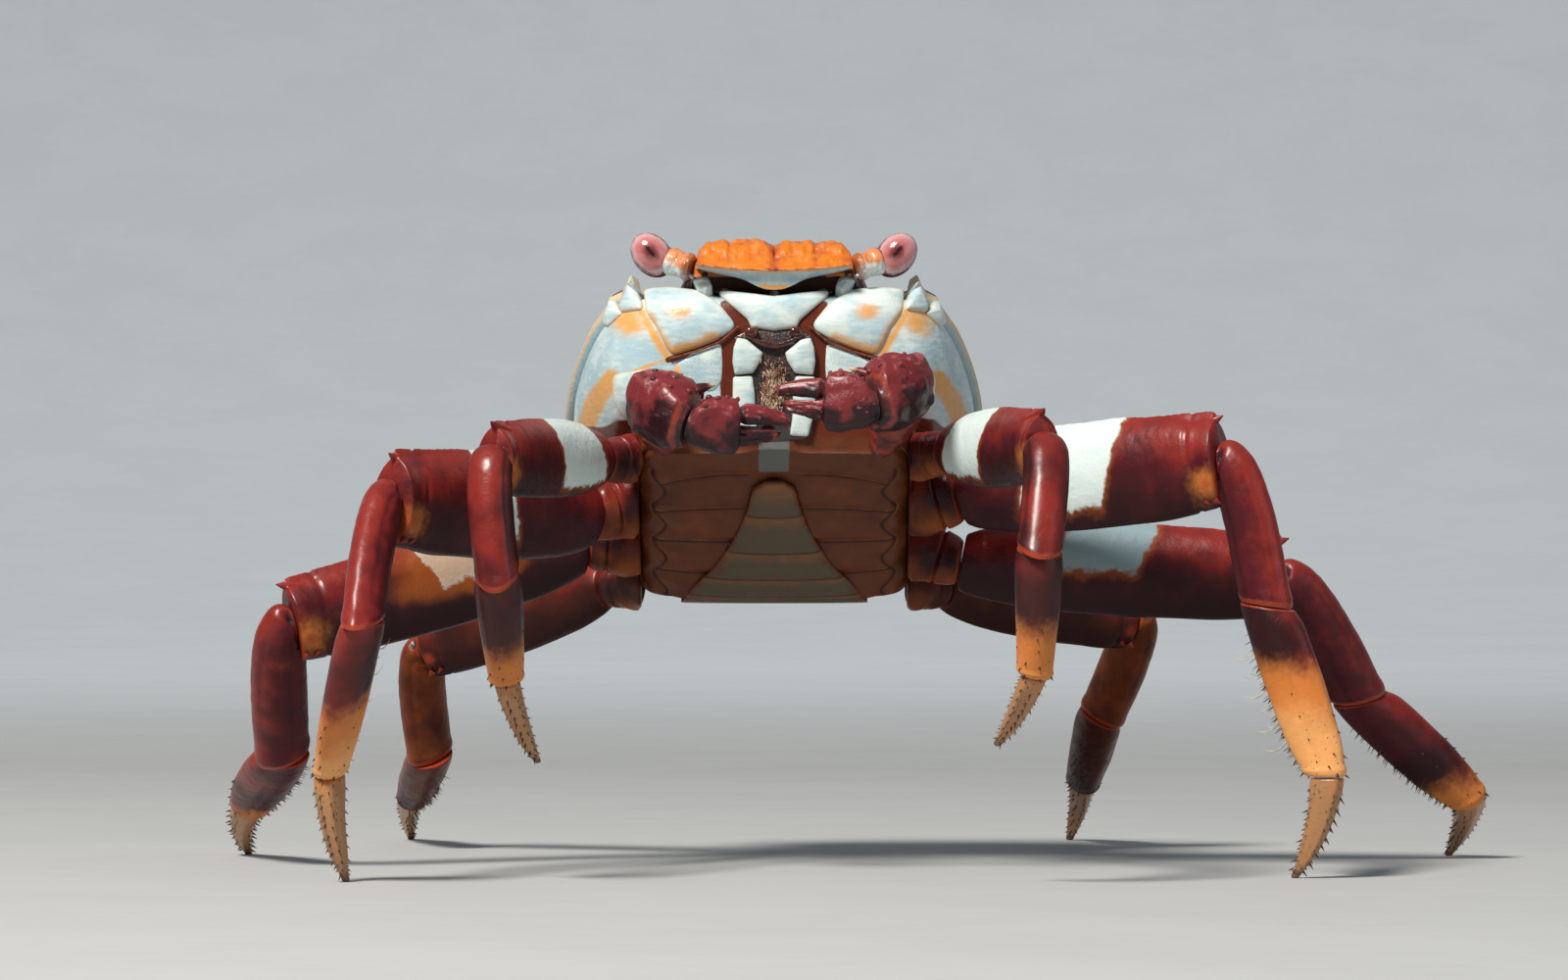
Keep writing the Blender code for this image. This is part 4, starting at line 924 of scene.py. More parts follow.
def make_front():
    """The front's lower side: rings along it from the right corner to the left, each a flat drop shape from the
    beaded lip down to its lower edge; the beads; and the small feelers folded in the hollows under it."""
    half_width = 12.7
    u = np.linspace(-1, 1, 200)[:, None]
    top = 15.5 + 1.0 * u**2
    foot = through(np.abs(u), (0, 0.10, 0.20, 0.42, 0.75, 1.0), (12.5, 12.6, 13.0, 14.3, 15.2, 16.0))
    angle = once_round(48)
    z = (top + foot) / 2 + ((top - foot) / 2) * np.sin(angle)
    share = (z - foot) / (top - foot)
    front = -29.6 - 1.4 * share - (1 - np.abs(u) ** 3) * 0.5 + 0.5 * np.sin(share * math.pi)
    back = front + 1.8 * (np.cos(angle) > 0)
    rings = BODY_CENTRE + np.stack(np.broadcast_arrays(half_width * u, back, z), -1) * MM
    skin = tube(rings, lip=eased(top - z, 0.50, 0.15),
                foot=(1 - eased(share, 0.0, 0.45)) * (1 - eased(np.abs(u), 0.10, 0.26)))
    piece("front_underside", [skin], finish_for("front enamel", front_paint), (), "shell_pale")

    v = np.linspace(-0.985, 0.985, 84)
    back = -31.45 - 0.5 * (1 - np.abs(v) ** 3)
    places = BODY_CENTRE + np.stack([half_width * v, back, 15.62 + 1.0 * v**2], 1) * MM
    sizes = 0.00014 + 0.00004 * noise(places, 0.0011, 14)
    beads = studs(places - (0, 0, 0.00016), places + (0, 0, 0.00016), sizes, BEAD, sides=8)
    brown = finish_for("lip beads", plain_paint, ((0.26, 0.055, 0.025), (0.62, 0.30, 0.16)), 0.0007, 0.3)
    piece("front_beads", [beads], brown, (), "shell_brown")

    dark = finish_for("folded feelers", plain_paint, ((0.07, 0.032, 0.030), (0.34, 0.20, 0.15)), 0.0010, 0.2,
                      0.00012, {"Coat Weight": 0.7, "Coat Roughness": 0.08})
    for name, side in SIDES.items():
        root = on_face(side, *np.array(FOLDED_FEELER).T, -2.1)
        folded = studs(root - (side * 0.0008, 0, 0.0002), root + (side * 0.0008, -0.0003, 0.0002), 0.00055, BEAD,
                       sides=12)
        k = np.arange(24)
        glints = on_face(side, np.linspace(3.6, 12.6, 24), 12.3 + 0.5 * np.sin(k * 2.4) + np.linspace(0, 1.6, 24),
                         -1.9)
        fuzz = studs(glints, glints + (0, -0.0007, 0.0004), 0.00009, BRISTLE, sides=4)
        piece(f"{name}_folded_feeler", [folded, fuzz], dark, (), "shell_brown")


def make_mouth():
    """Between the mouth plates: a dark bed, dark in part as painted shade between them; the upper lip, a tube
    along an arch that rises as u^1.6; two breathing holes, dark plates standing on the face as painted shade in
    place of openings; and short bristles that hang down and lean by noise."""
    # The bed is dark in part as painted shade between the mouth plates.
    bed = plate(1, mirrored(MOUTH_BED), 0.6, 0.15, 160, 30, 0.7, 2.4)
    dark = finish_for("mouth bed", plain_paint, ((0.060, 0.020, 0.012), "membrane"), 0.0016, 0.3, 0.0002,
                      {"Coat Weight": 0.5})
    piece("mouth_bed", [bed], dark, (), "shell_brown")
    u = np.linspace(-1, 1, 60)
    angle = once_round(16)
    thick = 0.50 * np.sqrt(np.clip(1.02 - u**2, 0.01, 1))
    arch = on_face(1, 4.2 * u, 3.3 + 1.5 * np.abs(u) ** 1.6, 1.4)
    rings = arch[:, None] + thick[:, None, None] * np.stack([0 * angle, -np.cos(angle), np.sin(angle)], 1) * MM
    glossy = finish_for("lip and holes", plain_paint, ((0.045, 0.008, 0.006), (0.10, 0.02, 0.015)), 0.002, 0.12,
                        0.00003, {"Coat Weight": 0.7})
    # Painted shade: the breathing holes are dark plates standing on the face in place of openings.
    holes = [plate(side, BREATHING_HOLE, 0.5, 1.3, 60, 12, 0.25, 2.0, 1.2) for side in SIDES.values()]
    piece("upper_lip", [tube(rings)] + holes, glossy, (), "shell_brown")
    rows = np.arange(620)
    wide, tall, lean = (noise(np.stack([rows, 0 * rows, 0 * rows], 1), cell, seed)
                        for cell, seed in ((0.37, 11), (0.41, 12), (0.29, 13)))
    x, z = wide * 3.0, -4.0 + tall * 7.0
    root = on_face(1, x, z, 0.5)
    tip = root + np.stack([lean * 0.6 - x * 0.12, -1.1 - 0.5 * np.abs(lean), 0.5 * wide - 0.4], 1) * MM
    silver = finish_for("mouth bristles", plain_paint, ((0.74, 0.56, 0.42), (0.26, 0.10, 0.05)), 0.0012, 0.25, 0.0)
    piece("mouth_bristles", [studs(root, tip, 0.00010, BRISTLE, (0, 0, 0.0003), 4)], silver, (), "shell_brown")


def eye_paint(w):
    """Rings round a dark middle: pink, light, and a dark hem at the edge; a dark slit across; fine facets."""
    cloud = w.grain(0.0010, 3.0)
    out = w.mark("out") + cloud * 0.25
    colour = flat(w, "eye_deep").layers(
        ("eye_pink", out.between(0.16, 0.60)),
        ("eye_light", out.between(0.58, 0.86) * 0.8),
        ("eye_hem", out.between(0.84, 0.99)),
        ("eye_slit", (w.mark("slit") + cloud * 0.4).between(0.15, 0.85) * 0.92))
    return colour, 0.13, w.dots(0.00016, 0.25) * -0.000010, {"Coat Weight": 0.8, "Coat Roughness": 0.04}


def stalk_paint(w):
    """Eyestalk shell: blue-white below, orange along the top, amber at the root and dark at the eye's hem."""
    cloud, fine = w.grain(0.0025), w.grain(0.0005, 3.0)
    colour = flat(w, "face_white").layers(
        ("face_blue", (cloud * 1.5 + 0.5).between(0.3, 1)),
        ("front_orange", (w.mark("rise") + cloud * 1.6 + fine + 0.15).between(-0.25, 0.45) * 0.9),
        ("shell_amber", (w.mark("root") + cloud + fine).between(0.3, 1.0) * 0.7),
        ("eye_hem", w.mark("hem")))
    return colour, 0.32 + fine * 0.3, fine * 0.00012, {"Coat Weight": 0.3}


def make_eyes():
    """Each eye is an ellipsoid leaning outwards on a short stalk, a tube whose girth swells, narrows and rounds
    off, with noise for its ripples; the stout first joint of the feeler and its stub lie below."""
    glass = finish_for("eye", eye_paint)
    stalk_finish = finish_for("eyestalk shell", stalk_paint)
    joint_finish = finish_for("feeler enamel", enamel_paint)
    for name, side in SIDES.items():
        centre = body_point(side * EYE_PLACE[0], *EYE_PLACE[1:])
        root = body_point(side * STALK_ROOT[0], *STALK_ROOT[1:])
        upright = np.array([side * math.sin(EYE_TILT), 0, math.cos(EYE_TILT)])
        ahead = np.array([0, -1.0, 0.08])
        ahead = unit(ahead - upright * (ahead @ upright))
        beside = np.cross(upright, ahead)
        polar = np.linspace(0.012, math.pi - 0.012, 80)[:, None]
        turn = once_round(120)
        high, wide, fore = np.broadcast_arrays(np.cos(polar), np.sin(polar) * np.sin(turn),
                                               np.sin(polar) * np.cos(turn))
        ball = (high[..., None] * EYE_RADII[0] * upright + fore[..., None] * EYE_RADII[1] * ahead
                + wide[..., None] * EYE_RADII[1] * 1.08 * beside)
        slit = np.exp(-(wide / 0.12) ** 2 - ((high - 0.14) / 0.30) ** 4) * (fore > 0)
        out = np.where(fore > 0, np.hypot(wide, high - 0.08), 1.0 + fore * 0.35)
        eye = tube(centre + ball * CARAPACE_WIDTH, slit=slit, out=out)
        piece(f"{name}_eyeball", [eye], glass, [f"{name}_eye"], "eye")

        axis = unit(centre - root)
        base_frame = upright_frame(axis)
        t = np.linspace(0, 1, 70)[:, None]
        path = root - axis * 0.0008 + t * (centre - axis * 0.0022 + (0, 0.0006, 0) - root + axis * 0.0008)
        turn = once_round(72)
        rise, fore = np.sin(turn), np.cos(turn)
        girth = through(t, (0, 0.12, 0.42, 0.72, 0.90, 1.0), (0.85, 1.02, 0.88, 1.00, 0.90, 0.60))
        ripple = 1 + 0.07 * noise(np.stack(np.broadcast_arrays(5 * t, fore, rise), -1), 0.42, 21)
        reach = STALK_RADIUS * CARAPACE_WIDTH * girth * ripple
        rings = (path[:, None] + (reach * rise)[..., None] * base_frame[1]
                 + (reach * fore)[..., None] * base_frame[2])
        stalk = tube(rings, rise=rise, root=eased(0.35 - t, 0, 0.3), hem=eased(t, 0.80, 0.86))
        piece(f"{name}_eyestalk_shell", [stalk], stalk_finish, [f"{name}_eyestalk"], "shell_orange")

        joint = plate(side, FEELER_JOINT, 1.3, 1.0, 90, 22, 0.35, 2.0, 2.4)
        start = on_face(side, np.array([13.2]), np.array([14.2]), 1.2)
        feeler = studs(start, start + [[side * 0.0042, -0.0006, 0.0008]], 0.00040, SPIKE, (0, 0, 0.0003), 12)
        piece(f"{name}_feeler", [joint, feeler], joint_finish, [f"{name}_antenna"], "shell_pale")


# ---------------------------------------------------------------- limbs

def ring_spots(count):
    """Places along a limb from 0 to 1, closer together near its ends."""
    t = np.linspace(0, 1, count)
    return 0.5 * t + 0.25 * (1 - np.cos(t * math.pi))


def knobs(spots, angle, length, girth, cell, seed):
    """Noise wrapped round a limb: read at its length along and at a circle of its girth round about."""
    ring = np.broadcast_arrays(spots[:, None] * length, np.cos(angle) * girth, np.sin(angle) * girth)
    return noise(np.stack(ring, -1), cell, seed)


def claw_paint(w):
    """Claw shell: purple red with dark clouds, darker below as painted shade, redder where the warm mark says,
    pink on the knobs and along the upper edge as a painted highlight, and cream at the tips."""
    mark, cloud, patch, fine = w.mark, w.grain(0.005), w.grain(0.0020, 3.0), w.grain(0.0007, 3.0)
    colour = flat(w, "claw_purple").layers(
        # Painted shade: darker towards the lower side.
        ("claw_dark", (cloud * 2.4 + patch * 1.4 - mark("rise") * 0.75 + 0.42).between(0.0, 0.75)),
        ("joint_red", (mark("warm") + cloud + patch * 0.8).between(0.35, 1.0) * 0.8),
        # Painted highlight: pink on the knobs and along the upper side.
        ("claw_pink_highlight", (mark("knob") + patch * 1.3 + mark("rise") * 0.35).between(0.55, 1.3) * 0.80),
        ("rim_cream", (mark("tip") + fine * 0.3).between(0.55, 0.9)),
        ("membrane", mark("slot")))
    height = fine * 0.00008 + patch * 0.00022 + cloud * 0.0003 - w.dots(0.0007).between(0.35, 0.05) * 0.00004
    return colour, 0.42 + w.grain(0.0015, 4.0) * 0.30, height, {
        "Coat Weight": 0.22, "Coat Roughness": 0.22, "Specular IOR Level": 0.28}


# Warts: which ring of the skin, which of its points, and the radius in millimetres.
WRIST_WARTS = ((22, 14, 0.6), (34, 10, 0.5), (45, 16, 0.7), (58, 11, 0.55), (70, 17, 0.6), (28, 24, 0.45),
               (52, 27, 0.5), (66, 22, 0.4))
PALM_WARTS = ((12, 17, 0.5), (20, 19, 0.6), (28, 16, 0.55), (36, 18, 0.5), (44, 17, 0.4), (17, 10, 0.4),
              (33, 25, 0.4))
# The claws' lumps and their grain, in metres across.
CLAW_LUMP, CLAW_GRAIN = 0.0021, 0.0008
CLAW_RINGS, CLAW_SIDES = 90, 72
CLAW_RIDGES = (0.72, 2.30, 3.85, 5.60)


def round_from(angle, place):
    """How far round a limb each angle lies from a place, as an angle from -pi to pi."""
    return np.angle(np.exp(1j * (angle - place)))


def warts_on(rings, up, places, sunk, proud):
    """Beads at some of the skin's points, from a depth under them to a height over them."""
    ring, k, radius = np.array(places).T
    at = rings[ring.astype(int), k.astype(int)]
    # The beads take the pink painted highlight of the knobs.
    return marked(studs(at - up * sunk, at + up * proud, radius * MM, BEAD, sides=12), tip=0.0, knob=0.7)


def make_claws():
    """The claws: arms, lumpy wrists with a pale-tipped inner spine, swollen palms that run on as the fixed finger,
    and curved fingers. Each is a limb of rings, swollen by two sizes of knobs and by four ridges along it, each a
    bell round the limb, and drawn in at both ends."""
    finish = finish_for("claw shell", claw_paint)
    angle, spots = once_round(CLAW_SIDES), ring_spots(CLAW_RINGS)
    arm_girth, wrist_girth, palm_girth, finger_girth = (share * CARAPACE_WIDTH for share in CLAW_GIRTHS)
    half = GAP / 2
    face = FACE_FRONT + GAP / CARAPACE_WIDTH

    def part(start, end, base_frame, profile, girth, planes, seed, rough, sink=0 * spots, warm=0.0):
        """The rings of one limb, whose path sinks by some lengths, and its skin."""
        length = np.linalg.norm(end - start)
        lump = knobs(spots, angle, length, girth, CLAW_LUMP, seed)
        small = knobs(spots, angle, length, girth, CLAW_GRAIN, seed + 1)
        ease = (eased(spots, 0.0, 0.1) * eased(1 - spots, 0.0, 0.12))[:, None]
        ridges = sum(bell(round_from(angle, place) + 0.25 * lump, 0.24) for place in CLAW_RIDGES)
        bulge = 0.065 * lump + 0.06 * np.clip(small - 0.45, 0, 1) + 0.10 * ridges
        bulge = bulge * rough * ease - 0.05 * (1 - ease)
        path = start + np.outer(spots, end - start) - np.outer(sink, base_frame[1])
        rings = limb_rings(path, base_frame, profile, spots, girth, planes, bulge)
        # Painted highlight: where the lumps and ridges stand out, this mark lays on the claws' pink.
        knob = np.clip(small * 1.1 + lump * 0.5 + ridges * 0.3 - 0.1, 0, 1)
        warm = warm + bell(spots - 0.93, 0.035) * 0.9
        return rings, tube(rings, rise=np.sin(angle), warm=warm[:, None], knob=knob, slot=0.6 * (1 - ease))

    for name, side in SIDES.items():
        def shell(label, skins):
            piece(f"{name}_claw_{label}_shell", skins, finish, [f"{name}_claw_{label}"], "shell_purple")

        joints = [BODY_CENTRE + np.array([side * CLAW_ROOT[0], -face, CLAW_ROOT[1]]) * CARAPACE_WIDTH]
        for length, pose in zip(CLAW_LENGTHS[:3], CLAW_POSES[name]):
            joints.append(joints[-1] + direction(side, *pose) * length * CARAPACE_WIDTH)
        axes = [unit(b - a) for a, b in zip(joints, joints[1:])]
        elbow, wrist_end = unit(axes[0] + axes[1]), unit(axes[1] + axes[2])

        arm_frame = upright_frame(axes[0])
        _, arm = part(joints[0], joints[1] - axes[0] * half, arm_frame, ARM, arm_girth,
                      (np.array([0, 1.0, 0]), elbow), 31, 0.7, warm=0.75)
        shell("arm", [arm])

        wrist_frame = turned(arm_frame, axes[1])
        rings, wrist = part(joints[1] + axes[1] * half, joints[2] - axes[1] * half, wrist_frame, WRIST,
                            wrist_girth, (elbow, wrist_end), 35 + side, 1.0)
        row = int(np.searchsorted(spots, 0.85))
        inner = rings[row, int(np.argmax(rings[row] @ unit(axes[2] + (0, 0, 0.9))))]
        spine_tip = inner + unit(axes[2] + (0, 0, 0.5)) * WRIST_SPINE * CARAPACE_WIDTH * 0.9
        spine = studs([inner - axes[2] * 0.0012], [spine_tip], 0.0012, SPIKE, (0, 0, 0.0002), 16)
        shell("wrist", [wrist, spine, warts_on(rings, wrist_frame[1], WRIST_WARTS, 0.0006, 0.0003)])

        palm_frame = turned(wrist_frame, axes[2])
        start = joints[2] + axes[2] * half
        reach = CLAW_LENGTHS[2] / PALM_LENGTH_SHARE * CARAPACE_WIDTH
        rings, palm = part(start, start + axes[2] * reach, palm_frame, PALM, palm_girth, (wrist_end, axes[2]),
                           41 + side, 0.9, sink=through(spots, PALM[0], PALM[4]) * palm_girth)
        shell("palm", [palm, warts_on(rings, palm_frame[1], PALM_WARTS, 0.0005, 0.0004)])

        finger_axis = direction(side, *CLAW_POSES[name][3])
        root = start + axes[2] * reach * FINGER_START + palm_frame[1] * FINGER_LIFT * palm_girth
        tip = root + finger_axis * CLAW_LENGTHS[3] * CARAPACE_WIDTH
        _, finger = part(root, tip, turned(palm_frame, finger_axis), FINGER, finger_girth, (axes[2], finger_axis),
                         45 + side, 0.35, sink=spots**2 * 0.16 * palm_girth)
        shell("finger", [finger])


def leg_joints(side, number, pose):
    """The six joints of one leg, from hip to tip."""
    lengths = np.array(LEG_LENGTHS[number]) * CARAPACE_WIDTH
    joints = [body_point(side * HIP_OUT, HIPS_ALONG[number], HIP_HEIGHT)]
    for k, (azimuth, elevation) in enumerate(pose):
        if elevation is None:
            tip_drop = lengths[4] * math.sin(math.radians(pose[4][1]))
            elevation = math.degrees(math.asin(-(joints[-1][2] + tip_drop) / lengths[k]))
        joints.append(joints[-1] + direction(side, azimuth, elevation) * lengths[k])
    return joints


# For each leg: where its pale band starts and ends, how amber it is, where the propodus turns orange, and how far
# the seam between carpus and propodus slants.
LEG_BANDS = {"right": ((0.12, 0.50), (0.47, 0.585), (0.34, 0.52), (0.30, 0.44)),
             "left": ((0.12, 0.50), (0.28, 0.60), (0.28, 0.56), (0.30, 0.44))}
LEG_AMBER = {"right": (-0.4, -0.4, 0.80, 0.05), "left": (-0.4, -0.4, 0.10, 0.0)}
ORANGE_FROM = {"right": (0.62, 0.47, 0.86, 1.05), "left": (0.56, 0.34, 0.80, 1.05)}
SEAM_SLANT = (0.75, 0.42, 0.50, 0.45)
# How far down round the limb each leg's band reaches, as a sine; on the third legs it keeps to the upper side,
# whose lower side is left dark as painted shade; and the rings of a limb and their points.
BAND_DEPTH = (0.72, 0.62, 0.05, 0.0)
LEG_RINGS, LEG_SIDES = 96, 64


def make_leg(side_name, number, finishes):
    """One walking leg in five limbs of rings, all straight but the carpus, which follows the curve
    (1 - s)^2 a + 2 s (1 - s) b + s^2 c from the knee past the elbow to the wrist. The bulge of each is a sum:
    bells round the limb for crests, keels, furrows and ribs, bells along it for grooves and collars, noise for
    lumps, and rims that draw in. The marks say where the shell's colours change; the shade mark is mostly
    painted shade."""
    side = SIDES[side_name]
    pose = LEG_POSES[side_name][number]
    joints = leg_joints(side, number, pose)
    lengths = np.array(LEG_LENGTHS[number]) * CARAPACE_WIDTH
    merus_girth, carpus_girth, propodus_girth = (share * CARAPACE_WIDTH for share in LEG_GIRTHS[number])
    axes = [unit(b - a) for a, b in zip(joints, joints[1:])]
    elbow = joints[2] + axes[1] * ELBOW_REACH * CARAPACE_WIDTH
    wrist_way = unit(joints[3] - elbow)
    half = GAP / 2
    angle, spots = once_round(LEG_SIDES), ring_spots(LEG_RINGS)
    rise, fore, s = np.sin(angle), side * np.cos(angle), spots[:, None]
    merus_frame = upright_frame(axes[1])
    knee, wrist = joints[2] + axes[1] * half, joints[3] - wrist_way * half
    points = (1 - s) ** 2 * knee + 2 * s * (1 - s) * elbow + s**2 * wrist
    ways = 2 * (1 - s) * (elbow - joints[2]) + 2 * s * (joints[3] - elbow)
    frames = np.array([turned(merus_frame, way) for way in ways])
    slanted = unit(unit(wrist_way + axes[3]) - SEAM_SLANT[number] * frames[-1][1])
    planes = [np.array([1.0, 0, 0]), unit(axes[0] + axes[1]), axes[1], slanted, unit(axes[3] + axes[4]), axes[4]]

    (carpus_share, propodus_share, dactyl_share), tall = LEG_SHAPES[number]
    dusk = 0.80 if number == 0 else 0.0

    def shaped(profile, share):
        """The profile with its heights and its thickness multiplied by the leg's own shares."""
        return np.array(profile) * np.array([1, tall, tall, share])[:, None]

    def lumps(k, girth, cell, which):
        """Noise round one of the limbs."""
        return knobs(spots, angle, lengths[k], girth, cell, 50 + 10 * number + side + which)

    def ridges(width, *places):
        """Bells round the limb at some places."""
        return sum(bell(round_from(angle, place), width) for place in places)

    def build(k, path, frames, profile, girth, bulge, pinch=1.0, extra=(), move=None, **marks):
        """The shell of one limb. A mark that isn't given has the value that says nothing."""
        rings = limb_rings(path, frames, profile, spots, girth, planes[k:k + 2], bulge, pinch)
        rings = move(rings) if move else rings
        marks = {"rise": rise, "shade": 0, "warm": -9, "band": -9, "amber": -0.4, "dull": 0, **marks}
        node = f"{side_name}_leg_{number + 1}_{SEGMENTS[k]}"
        piece(f"{node}_shell", [tube(rings, **marks), *extra],
              finishes["tip" if k == 4 else "far" if number == 3 else "near"], [node],
              "shell_orange" if k == 4 else "shell_red")
        return rings

    def straight(k, start, end, base_frame, profile, girth, bulge, **more):
        """The shell of a limb whose path is a straight line."""
        return build(k, start + np.outer(spots, end - start), base_frame, profile, girth, bulge, **more)

    def edge_of(k, first, last):
        """Rounding of a limb's rims, and how red they are near its start and its end."""
        start, end = s * lengths[k] / MM, (1 - s) * lengths[k] / MM
        red = np.maximum(first * (1 - eased(start, 0.1, 0.6)), last * (1 - eased(end, 0.1, 0.8)))
        return -0.035 * (1 - eased(np.minimum(start, end), 0.03, 0.28)), red

    amber = LEG_AMBER[side_name][number]
    soft, red = edge_of(0, 0.0, 0.7)
    bulge = (0.05 * lumps(0, merus_girth * 0.5, 0.003, 0) - 0.07 * bell(s - 0.60, 0.03)
             + 0.10 * eased(0.5 - s, 0, 0.3) + soft)
    # Painted shade, in part: the shade mark darkens the base all over under the body, and more underneath.
    straight(0, joints[0] - np.array([side * 0.0012, 0, 0]), joints[1] - axes[0] * half,
             turned(merus_frame, axes[0]), BASE, merus_girth * 0.95, bulge, shade=0.80 - 0.3 * rise,
             edge=np.maximum(red, 0.4 * bell(s - 0.57, 0.03)), amber=0.32 - 0.3 * rise)

    # Merus: a crest along the top, two keels below, cross-wrinkles, a groove and a flared collar at its far end.
    length = lengths[1]
    wrinkle = (s * length / 0.00085 + 1.8 * lumps(1, merus_girth, 0.004, 1)) % 1
    soft, red = edge_of(1, 0.5, 0.9)
    bulge = (ridges(0.16, math.pi / 2) * (0.05 * eased(s, 0.02, 0.3) + 0.09 * eased(s, 0.80, 0.95))
             + 0.03 * ridges(0.13, -1.15, 1.15 - math.pi) * eased(s, 0.1, 0.5) * eased(1 - s, 0.0, 0.1)
             + 0.012 * (1 - wrinkle) * eased(rise, -0.2, 0.6) * eased(s, 0.1, 0.3)
             + 0.02 * lumps(1, merus_girth, 0.006, 2)
             - 0.04 * bell(s - 0.912 + 0.02 * fore * rise, 0.007) + 0.045 * eased(s, 0.93, 0.985) + soft)
    low, high = LEG_BANDS[side_name][number]
    shown = np.minimum(np.minimum(s - low - 0.06 * rise, high + 0.06 * rise - s) * length / MM,
                       np.minimum((fore + 0.55) * 5, (rise + BAND_DEPTH[number]) * 5)) - 6.0 * (number == 3)
    patch = 1.3 - 0.55 * np.hypot((s - 0.97) * length / MM, (rise + 0.45) * merus_girth * 0.95 / MM)
    start, end = joints[1] + axes[1] * half, joints[2] - axes[1] * half
    far_end = end + merus_frame[1] * merus_girth * 0.66 - axes[1] * 0.0030
    lower = [end - merus_frame[1] * merus_girth * 0.70 + merus_frame[2] * way * merus_girth * 0.26
             - axes[1] * back for way, back in ((1, 0.0006), (-1, 0.0006), (1, 0.0024), (-1, 0.0026))]
    tips = [far_end + axes[1] * 0.0044 + merus_frame[1] * 0.0019] + [
        root + axes[1] * 0.0010 - merus_frame[1] * 0.0007 for root in lower]
    teeth = studs([far_end] + lower, tips, np.array([0.0015, 0.0006, 0.0006, 0.0004, 0.0004]), SPIKE, sides=14)
    # Amber fades out underneath, so it shows on the lit upper side as painted light.
    # Painted shade: the shade mark darkens the merus underneath, and in part on the two rear legs.
    straight(1, start, end, merus_frame, MERUS, merus_girth, bulge, pinch=1.25,
             extra=[marked(teeth, rise=1, warm=-9, band=-9, amber=-0.4)],
             band=shown, dull=0.85 * (number == 2 and side > 0), warm=patch if number < 3 else -9,
             shade=0.30 - 0.70 * rise + 0.40 * (number > 1),
             amber=(amber - 0.7 * eased(s, 0.50, 0.80) - 0.6 * (1 - eased(s, 0.16, 0.36))
                    + 0.2 * (1 - np.abs(rise)) - 0.9 * eased(-rise, 0.0, 0.7)),
             edge=np.maximum(red * (0.55 - 0.45 * rise), np.clip(patch, 0, 1) * 0.7))

    # Carpus: bent down from the knee, with two long furrows and a soft slot on its front where it bends.
    front = 0.0 if side > 0 else math.pi
    slot = np.exp(-((s - 0.07) / 0.045) ** 2 - (round_from(angle, front + side * 0.35) / 0.42) ** 2)
    heel = np.exp(-((s - 0.03) / 0.03) ** 2 - (round_from(angle, front - side * 0.6) / 0.5) ** 2)
    furrows = ridges(0.12, front + side * 0.55, front - side * 0.55)
    soft, red = edge_of(2, 0.6, 1.0)
    bulge = (-0.20 * slot - 0.035 * furrows * eased(s, 0.12, 0.3) * eased(1 - s, 0.05, 0.2)
             + 0.03 * lumps(2, carpus_girth, 0.005, 3) + 0.012 * lumps(2, carpus_girth, 0.0011, 4)
             + 0.05 * bell(s - 0.97, 0.025) + soft)
    # The shade mark is in part painted shade, darker underneath and in the furrows.
    build(2, points, frames, shaped(CARPUS, carpus_share), carpus_girth, bulge,
          slot=np.clip(slot * 1.7 - 0.35, 0, 1),
          shade=0.05 - 0.25 * (number == 2) + dusk - 0.50 * rise + 0.55 * furrows,
          amber=amber * 0.2 + 0.45 * (number == 3), edge=np.maximum(red, 0.8 * heel))

    # Propodus: a shallow furrow along each face; it darkens, then turns orange and gold towards its end.
    propodus_frame = turned(frames[-1], axes[3])
    furrows = ridges(0.16, 0.0, math.pi)
    soft, red = edge_of(3, 0.8, 0.0)
    bulge = (-0.05 * furrows * eased(s, 0.15, 0.4) * eased(1 - s, 0.0, 0.1)
             + 0.035 * lumps(3, propodus_girth, 0.005, 5) + 0.04 * bell(s - 0.965, 0.02) + soft)
    turn_at = ORANGE_FROM[side_name][number]
    # The shade mark is in part painted shade, darker underneath and in the furrows.
    ankle = straight(3, joints[3] + axes[3] * half, joints[4] - axes[3] * half, propodus_frame,
                     shaped(PROPODUS, propodus_share), propodus_girth, bulge,
                     warm=(s - turn_at - 0.08 * rise) * lengths[3] / MM * 0.42,
                     shade=0.25 + dusk + 0.9 * bell(s - turn_at + 0.16, 0.18) - 0.3 * rise + 0.25 * furrows,
                     amber=amber * 0.2, edge=red, freckle=0.2 + 0.7 * eased(s, turn_at, 0.95))

    # Dactyl: curved, with four low ribs for its rows of spines.
    dactyl_frame = turned(propodus_frame, axes[4])

    def bent_tip(rings):
        """The rings sagged by s(1 - s), and flattened onto the floor at the tip if the leg stands."""
        rings = rings + (spots * (1 - spots) * DACTYL_SAG * lengths[4])[:, None, None] * dactyl_frame[1]
        if number:
            low = eased(spots, 0.93, 1.0)[:, None]
            rings[..., 2] = rings[..., 2] * (1 - low) + np.maximum(rings[..., 2], 0) * low
        return rings

    ribs = ridges(0.25, *(math.pi * place for place in (0.25, 0.75, 1.25, 1.75)))
    claw_tip = straight(4, joints[4] + axes[4] * half, joints[5], dactyl_frame, shaped(DACTYL, dactyl_share),
                        propodus_girth, 0.05 * ribs * eased(1 - s, 0.05, 0.3) + edge_of(4, 0, 0)[0], move=bent_tip,
                        along=s, freckle=1 - 0.5 * s)
    return ankle, claw_tip, axes


